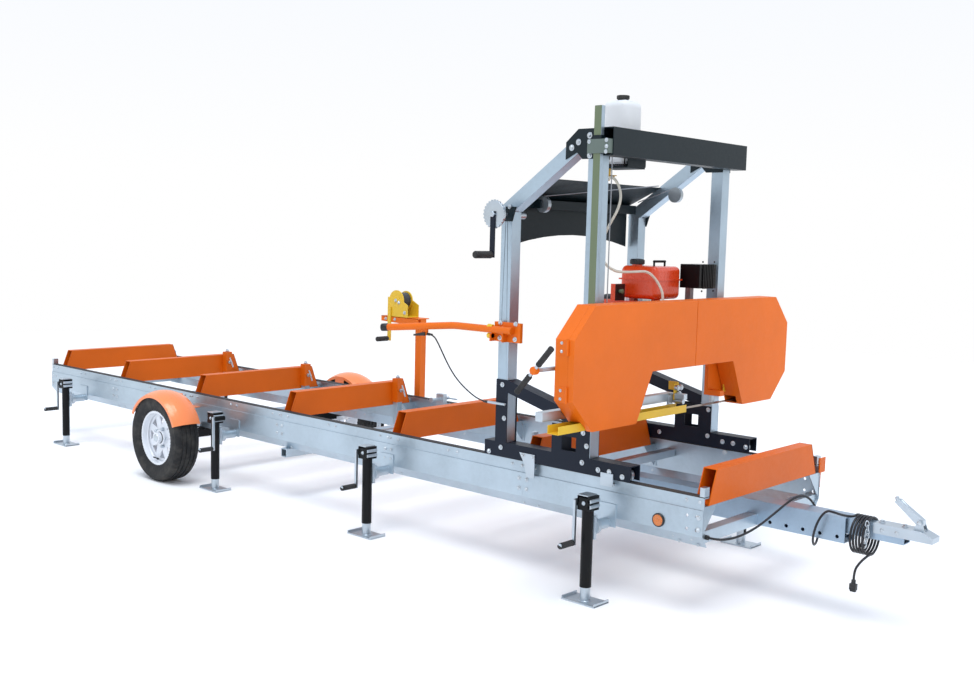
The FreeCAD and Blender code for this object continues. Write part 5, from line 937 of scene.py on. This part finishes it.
def winch_details():
    """The winch's strap round the drum and hanging down, bolts, the angle's lip and the crank's grip."""
    drum = facing(at(WINCH_X, WINCH_Y, WINCH_BASE + 104), (0, 1, 0))
    bm = bmesh.new()
    stack(bm, drum, [(44.5, -36), (50, -35), (50, 35), (44.5, 36)], 56)
    outline = [at(WINCH_X - 50, WINCH_Y - 25, z) for z in (1110, 1060, 1010)]
    for first, second in zip(outline, outline[1:]):
        slab(bm, facing((first + second) / 2 + Vector((0, 0.025, 0)), (0, 0, 1)),
             (3, 50, (first - second).length / MM + 2))
    piece("winch_strap", bm, "trailer", STRAP)
    bm = bmesh.new()
    angle_low = [at(x, WINCH_Y - 50, z) for x, z in ((-3080, 1006), (-2736, 1006), (-2736, 968),
                                                     (-2812, 962), (-3080, 972))]
    sheet_part(bm, angle_low, Vector((0, 5 * MM, 0)))
    piece("winch_angle", bm, "trailer", ORANGE, rounding=1)
    bolts("winch_bolts", "trailer", [at(x, WINCH_Y - 50, 988) for x in (-3036, -2950)], (0, -1, 0), 7)
    bolts("winch_side_bolts", "trailer", [at(WINCH_X + dx, WINCH_Y - 50, WINCH_BASE + dz)
                                          for dx, dz in ((0, 104), (84, 30), (30, 92))], (0, -1, 0), 8)
    bm = bmesh.new()
    start = at(WINCH_X - 52, 486, 862)
    ribbed_grip(bm, start, start - Vector((0, 94 * MM, 0)), 16)
    piece("winch_grip", bm, "winch_handle", RUBBER)


# carriage details

PLATE_BOLTS = ((-1086, 856), (-1086, 561), (-1159, 532), (-608, 564), (-519, 546), (-460, 547), (-391, 536),
               (-607, 696), (-586, 640), (-1070, 700))
FAR_PLATE_BOLTS = ((-588, 701), (-586, 569), (-873, 550), (-499, 552), (-440, 552), (-369, 544), (-484, 500))
CORNER_BOLTS = ((-627, 1979), (-686, 1953), (-722, 1930), (-624, 1895))
CLIP_BOLTS = ((-608, 1950), (-517, 1954), (-516, 1928), (-519, 1906))
CLASP_BOLTS = ((-1097, 1144), (-1004, 1144), (-1099, 1074), (-1006, 1074))


def carriage_bolts():
    for side, label in ((NEAR, "near"), (FAR, "far")):
        bolts(f"{label}_plate_bolts", "carriage", [at(x, 536 * side, z) for x, z in PLATE_BOLTS],
              (0, side, 0), 8)
        bolts(f"{label}_keeper_bolts", "carriage", [at(x, 540 * side, 544) for x in (-945, -887)],
              (0, side, 0), 8)
        bolts(f"{label}_corner_bolts", "carriage", [at(x, 536 * side, z) for x, z in CORNER_BOLTS],
              (0, side, 0), 9)
    bolts("far_inner_bolts", "carriage", [at(x, 464, z) for x, z in FAR_PLATE_BOLTS], (0, -1, 0), 8)
    bolts("clip_bolts", "carriage", [at(x, -564.5, z) for x, z in CLIP_BOLTS], (0, -1, 0), 6)
    bolts("clasp_bolts", "carriage", [at(x, -549, z) for x, z in CLASP_BOLTS], (0, -1, 0), 8)
    bolts("ear_bolts", "carriage", [at(-1104, -536, 1670), at(-1072, -536, 1676)], (0, -1, 0), 7)


def handle_details():
    """The push bar's end cap, the bumpers beside its clasp, and the height crank's grip and dial teeth."""
    bm = bmesh.new()
    end = at(-1735, -704, 1082)
    back = (at(-1378, -566, 1112) - end).normalized()
    stack(bm, facing(end, back), [(12, -4), (18, -2), (19, 4), (19, 30), (17.6, 32)], 32)
    piece("handle_cap", bm, "carriage", PLASTIC)
    bm = bmesh.new()
    for z in (1124, 1082):
        where = facing(at(-1133, -566, z), (-1, 0, 0))
        stack(bm, where, [(11, -6), (11, 10), (12.5, 12), (12.5, 22), (9, 26)], 28)
    piece("clasp_bumpers", bm, "carriage", YELLOW)
    bm = bmesh.new()
    ribbed_grip(bm, at(-1090, -634, 1457), at(-1090, -742, 1457), 17)
    piece("height_grip", bm, "height_wheel", RUBBER)
    bm = bmesh.new()
    dial = facing(at(-1090, -619, 1640), (0, 1, 0))
    for index in range(24):
        angle = math.tau * index / 24
        slab(bm, dial @ Matrix.Rotation(angle, 4, "Z"), (10, 8, 6), (61, 0, 0))
    stack(bm, dial, [(58, -5), (61, -4), (61, 4), (58, 5)], 72)
    stack(bm, facing(at(-1090, -632, 1640), (0, -1, 0)), [(15, -6), (15, 4), (11, 8), (5, 9)], 6)
    piece("height_dial", bm, "height_wheel", BRIGHT, rounding=0.6)


TANK_LOW, TANK_HIGH = (-722, -334, 1862), (-588, -200, 2152)


def tank_details():
    """The wire cage round the water tank, moulded ribs on the tank, and the brass valve's lever and spout."""
    x0, y0, z0 = TANK_LOW
    x1, y1, z1 = TANK_HIGH
    for number, z in enumerate((z0 + 6, z0 + 62)):
        loop = [(x0 - 5, y0 - 5), (x1 + 5, y0 - 5), (x1 + 5, y1 + 5), (x0 - 5, y1 + 5), (x0 - 5, y0 - 5)]
        points = [at(x, y, z) for x, y in loop]
        spline_piece(f"cage_ring_{number}", points, 3, "carriage", BLACK, order=2)
    for number, (x, y) in enumerate(((x0 - 5, y0 - 5), (x1 + 5, y0 - 5), (x1 + 5, y1 + 5))):
        spline_piece(f"cage_upright_{number}", [at(x, y, z0 - 6), at(x, y, z0 + 62)], 3, "carriage", BLACK,
                     order=2)
    bm = bmesh.new()
    middle = facing(at((x0 + x1) / 2, (y0 + y1) / 2, 0), (0, 0, 1))
    stack(bm, middle, [(22, z1 + 2), (24, z1 + 3), (24, z1 + 7), (22, z1 + 8)], 36)
    for index in range(18):
        turn = middle @ Matrix.Rotation(math.tau * index / 18, 4, "Z")
        slab(bm, turn, (3, 4, 14), (27, 0, z1 + 16))
    piece("tank_cap_ribs", bm, "carriage", PLASTIC, rounding=0.5)
    bm = bmesh.new()
    valve = at(x0 + 34, y0 + 22, z0 - 50)
    stack(bm, facing(valve, (0, 0, 1)), [(8, -12), (8, 0), (13, 1), (13, 12), (8, 13)], 6)
    slab(bm, facing(valve, (0, 0, 1)), (44, 9, 4), (-20, -2, 10))
    stack(bm, facing(valve, (1, 0, 0.2)), [(8, 8), (8, 18), (6, 19), (7, 22), (6, 25), (7, 28), (6, 32)], 18)
    piece("tank_valve", bm, "carriage", BRASS)


# head details

def tension_details():
    """The blade tension handle: a threaded stem, an orange hub, a cross bar and two ribbed grips."""
    hub = at(-520, -987, 1012)
    lean = Vector((math.cos(math.radians(48)), 0, math.sin(math.radians(48))))
    bm = bmesh.new()
    stem = facing(at(-520, -722, 1012), (0, -1, 0))
    threads = []
    for index in range(44):
        threads += [(9, index * 5), (8, index * 5 + 2.5)]
    stack(bm, stem, threads + [(9, 250), (9, 262)], 20)
    for side in (-1, 1):
        stack(bm, facing(hub, lean * side), [(8, 0), (8, 128)], 20)
    bar = piece("tension_bar", bm, "tension", BRIGHT)
    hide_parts("tension_handle")
    bm = bmesh.new()
    for side in (-1, 1):
        ribbed_grip(bm, hub + lean * side * 30 * MM, hub + lean * side * 133 * MM, 12.9)
    piece("tension_grips", bm, "tension", RUBBER)
    bm = bmesh.new()
    stack(bm, facing(hub, (0, 1, 0)), [(10, -11), (16, -9), (17, -4), (17, 14), (14, 18), (10, 20)], 32)
    stack(bm, facing(at(-520, -736, 1012), (0, 1, 0)), [(14, -8), (15, -6), (15, 10), (13, 14)], 6)
    piece("tension_hub", bm, "tension", ORANGE)


def guard_details():
    """Hinge leaves and knuckles on both ends of the guard, bolts on the near hinge leaves, and bolts along
    the head's beam.
    """
    bm = bmesh.new()
    for side in (NEAR, FAR):
        for low in (880, 1073):
            for start in (0, 23, 45):
                stack(bm, facing(at(-430.4, 889 * side, low + start), (0, 0, 1)),
                      [(5.5, 0), (5.8, 1), (5.8, 20), (5.5, 21)], 20)
    piece("hinge_knuckles", bm, "head", ORANGE)
    bm = bmesh.new()
    for side in (NEAR, FAR):
        for low in (880, 1073):
            slab(bm, facing(at(-452, 886 * side, low + 33), (0, 0, 1)), (42, 3, 62))
    piece("hinge_leaves", bm, "head", ORANGE, rounding=0.8)
    bolts("hinge_bolts", "head", [at(-462, 887.5 * side, low + z) for side in (NEAR,) for low in (880, 1073)
                                  for z in (16, 50)], (0, -1, 0), 4.5)
    bolts("beam_bolts", "head", [at(-545, y, z) for y in (-690, -560, -420, 560, 690) for z in (992, 1034)],
          (-1, 0, 0), 7)


def engine_details():
    """The fuel tank's cap and bail, muffler louvres, recoil cover, switch knob and ribs on the case."""
    bm = bmesh.new()
    cap = facing(at(-772, 60, 1424), (0, 0, 1))
    stack(bm, cap, [(30, 0), (34, 2), (34, 20), (31, 25), (12, 27)], 36)
    for index in range(14):
        slab(bm, cap @ Matrix.Rotation(math.tau * index / 14, 4, "Z"), (5, 8, 18), (33, 0, 12))
    piece("fuel_cap", bm, "head", PLASTIC, rounding=1)
    bm = bmesh.new()
    points = [(-700, 96), (-700, 186)]
    for x, y in points:
        stack(bm, facing(at(x, y, 1414), (0, 0, 1)), [(5, 0), (5, 26)], 16)
    stack(bm, facing(at(-700, 92, 1440), (0, 1, 0)), [(5, 0), (6, 1), (6, 97), (5, 98)], 16)
    piece("tank_bail", bm, "head", BLACK, rounding=1)
    bm = bmesh.new()
    front = facing(at(-540, 322, 1373), (1, 0, 0))
    for index in range(7):
        slab(bm, front, (8, 118, 5), (44 - index * 14.6, 0, 2))
    for corner in ((-52, -70), (-52, 70), (52, -70), (52, 70)):
        stack(bm, front @ Matrix.Translation((corner[0] * MM, corner[1] * MM, 0)),
              [(5, -1), (5, 3), (3, 5)], 6)
    piece("muffler_louvres", bm, "head", BLACK, rounding=1)
    bm = bmesh.new()
    start = facing(at(-998, 95, 1160), (-1, 0, 0))
    for index in range(10):
        angle = math.tau * index / 10
        slab(bm, start @ Matrix.Rotation(angle, 4, "Z"), (34, 9, 4), (44, 0, 0))
    stack(bm, start, [(24, -1), (24, 3), (18, 6), (6, 7)], 32)
    slab(bm, start @ Matrix.Translation((0.03, 0.07, 0)), (16, 56, 16), (0, 0, 4))
    piece("recoil_cover", bm, "head", PLASTIC, rounding=1.5)
    bm = bmesh.new()
    stack(bm, facing(at(-790, -50, 1296), (1, 0, 0)), [(9, 0), (9, 8), (11, 10), (11, 18), (8, 20)], 24)
    piece("switch_knob", bm, "head", OLIVE)
    bm = bmesh.new()
    for y in (-38, 235):
        for x in (-880, -830, -780, -730, -680):
            slab(bm, facing(at(x, y, 1140), (0, 1, 0)), (10, 110, 5))
    piece("case_ribs", bm, "head", ENGINE, rounding=1.5)


HOSE_ROUTE = [
    (-688, -312, 1812), (-668, -330, 1804), (-637, -372, 1812), (-602, -380, 1806), (-574, -380, 1767),
    (-564, -380, 1721), (-580, -380, 1667), (-617, -380, 1612), (-648, -380, 1557), (-654, -380, 1533),
    (-641, -408, 1471), (-627, -394, 1432), (-614, -367, 1410), (-600, -332, 1397), (-587, -236, 1397),
    (-574, -162, 1401), (-560, -133, 1388), (-547, -102, 1357), (-533, -87, 1321), (-520, -89, 1294),
    (-520, -85, 1200), (-520, -85, 1120), (-520, -85, 1066),
]
ROPE_PLACE = (-520, -515)
CABLE_RADIUS = 2.5


def crossing_line(name, places, radius, finish):
    """A line from carriage to sawing head as a mesh tube; a bare mesh of its route is made too."""
    curve = spline_piece(name + "_route", [at(*place) for place in places], radius, None, finish)
    curve.data.bevel_depth = 0
    bare = bpy.data.meshes.new_from_object(curve)
    curve.data.bevel_depth = radius * MM
    mesh = bpy.data.meshes.new_from_object(curve)
    bpy.data.objects.remove(curve)
    item = bpy.data.objects.new(name, mesh)
    bpy.context.scene.collection.objects.link(item)
    mesh.materials.clear()
    mesh.materials.append(finish)
    for face in mesh.polygons:
        face.use_smooth = True
    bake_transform(item)
    return item


def lift_cables():
    """The wire ropes: two that start out along the top from the rear bar, and one down to the sawing head."""
    for name, start, end in (("lift_rope_near", (-1034, -340, 1732), (-830, 300, 1808)),
                             ("lift_rope_far", (-1034, 420, 1732), (-830, 457, 1808))):
        spline_piece(name, [at(*start), at(*end)], CABLE_RADIUS, "carriage", WIRE, order=2,
                     sides=2)
    x, y = ROPE_PLACE
    top, low = (x, y, 1886), (x, y, 1066)
    bm = bmesh.new()
    stack(bm, facing(at(x, y, 1051), (0, 0, 1)), [(14, 0), (14, 6), (7, 8), (7, 26), (5, 30)], 20)
    ferrule = piece("lift_rope_ferrule", bm, "head", BRIGHT)
    crossing_line("lift_rope_down", [top, (x, y, 1480), low], CABLE_RADIUS, WIRE)


def water_hose():
    """The hose from the tank's valve, over the engine and down behind the guard to a brass fitting."""
    end = HOSE_ROUTE[-1]
    bm = bmesh.new()
    stack(bm, facing(at(end[0], end[1], 1051), (0, 0, 1)), [(12, 0), (12, 8), (9, 9), (9, 17), (8, 18),
                                                            (9, 24)], 20)
    fitting = piece("hose_fitting", bm, "head", BRASS)
    crossing_line("water_hose", HOSE_ROUTE, 6, HOSE)


def guide_details():
    """Yellow brackets with rollers beside the blade: one on the arm's end, one by the fixed guide."""
    for name, body, y in (("sliding", "guide", 12), ("fixed", "head", 452)):
        bm = bmesh.new()
        slab(bm, facing(at(-508, y, 871), (0, 0, 1)), (48, 10, 40))
        slab(bm, facing(at(-484, y - 14, 846), (0, 0, 1)), (6, 38, 76))
        piece(f"{name}_guide_bracket", bm, body, YELLOW, rounding=1.5)
        bm = bmesh.new()
        for offset, level in ((-22, 866), (6, 866), (-8, 838)):
            stack(bm, facing(at(-480, y + offset, level), (1, 0, 0)), [(5, -2), (13, -1), (13, 13), (9, 14),
                                                                       (9, 17), (5, 18)], 26)
        piece(f"{name}_guide_rollers", bm, body, BRIGHT)


def clip_plate():
    """The grey clip that holds the scale mast to the top beam."""
    bm = bmesh.new()
    slab(bm, facing(at(-562, -562.5, 1930), (0, -1, 0)), (112, 60, 4))
    slab(bm, facing(at(-507, -548, 1930), (0, -1, 0)), (4, 60, 30))
    piece("mast_clip", bm, "carriage", CLIP, rounding=1.5)


jack_details()
support_details()
drawbar_details()
winch_details()
carriage_bolts()
handle_details()
tank_details()
tension_details()
guard_details()
engine_details()
water_hose()
guide_details()
clip_plate()
lift_cables()
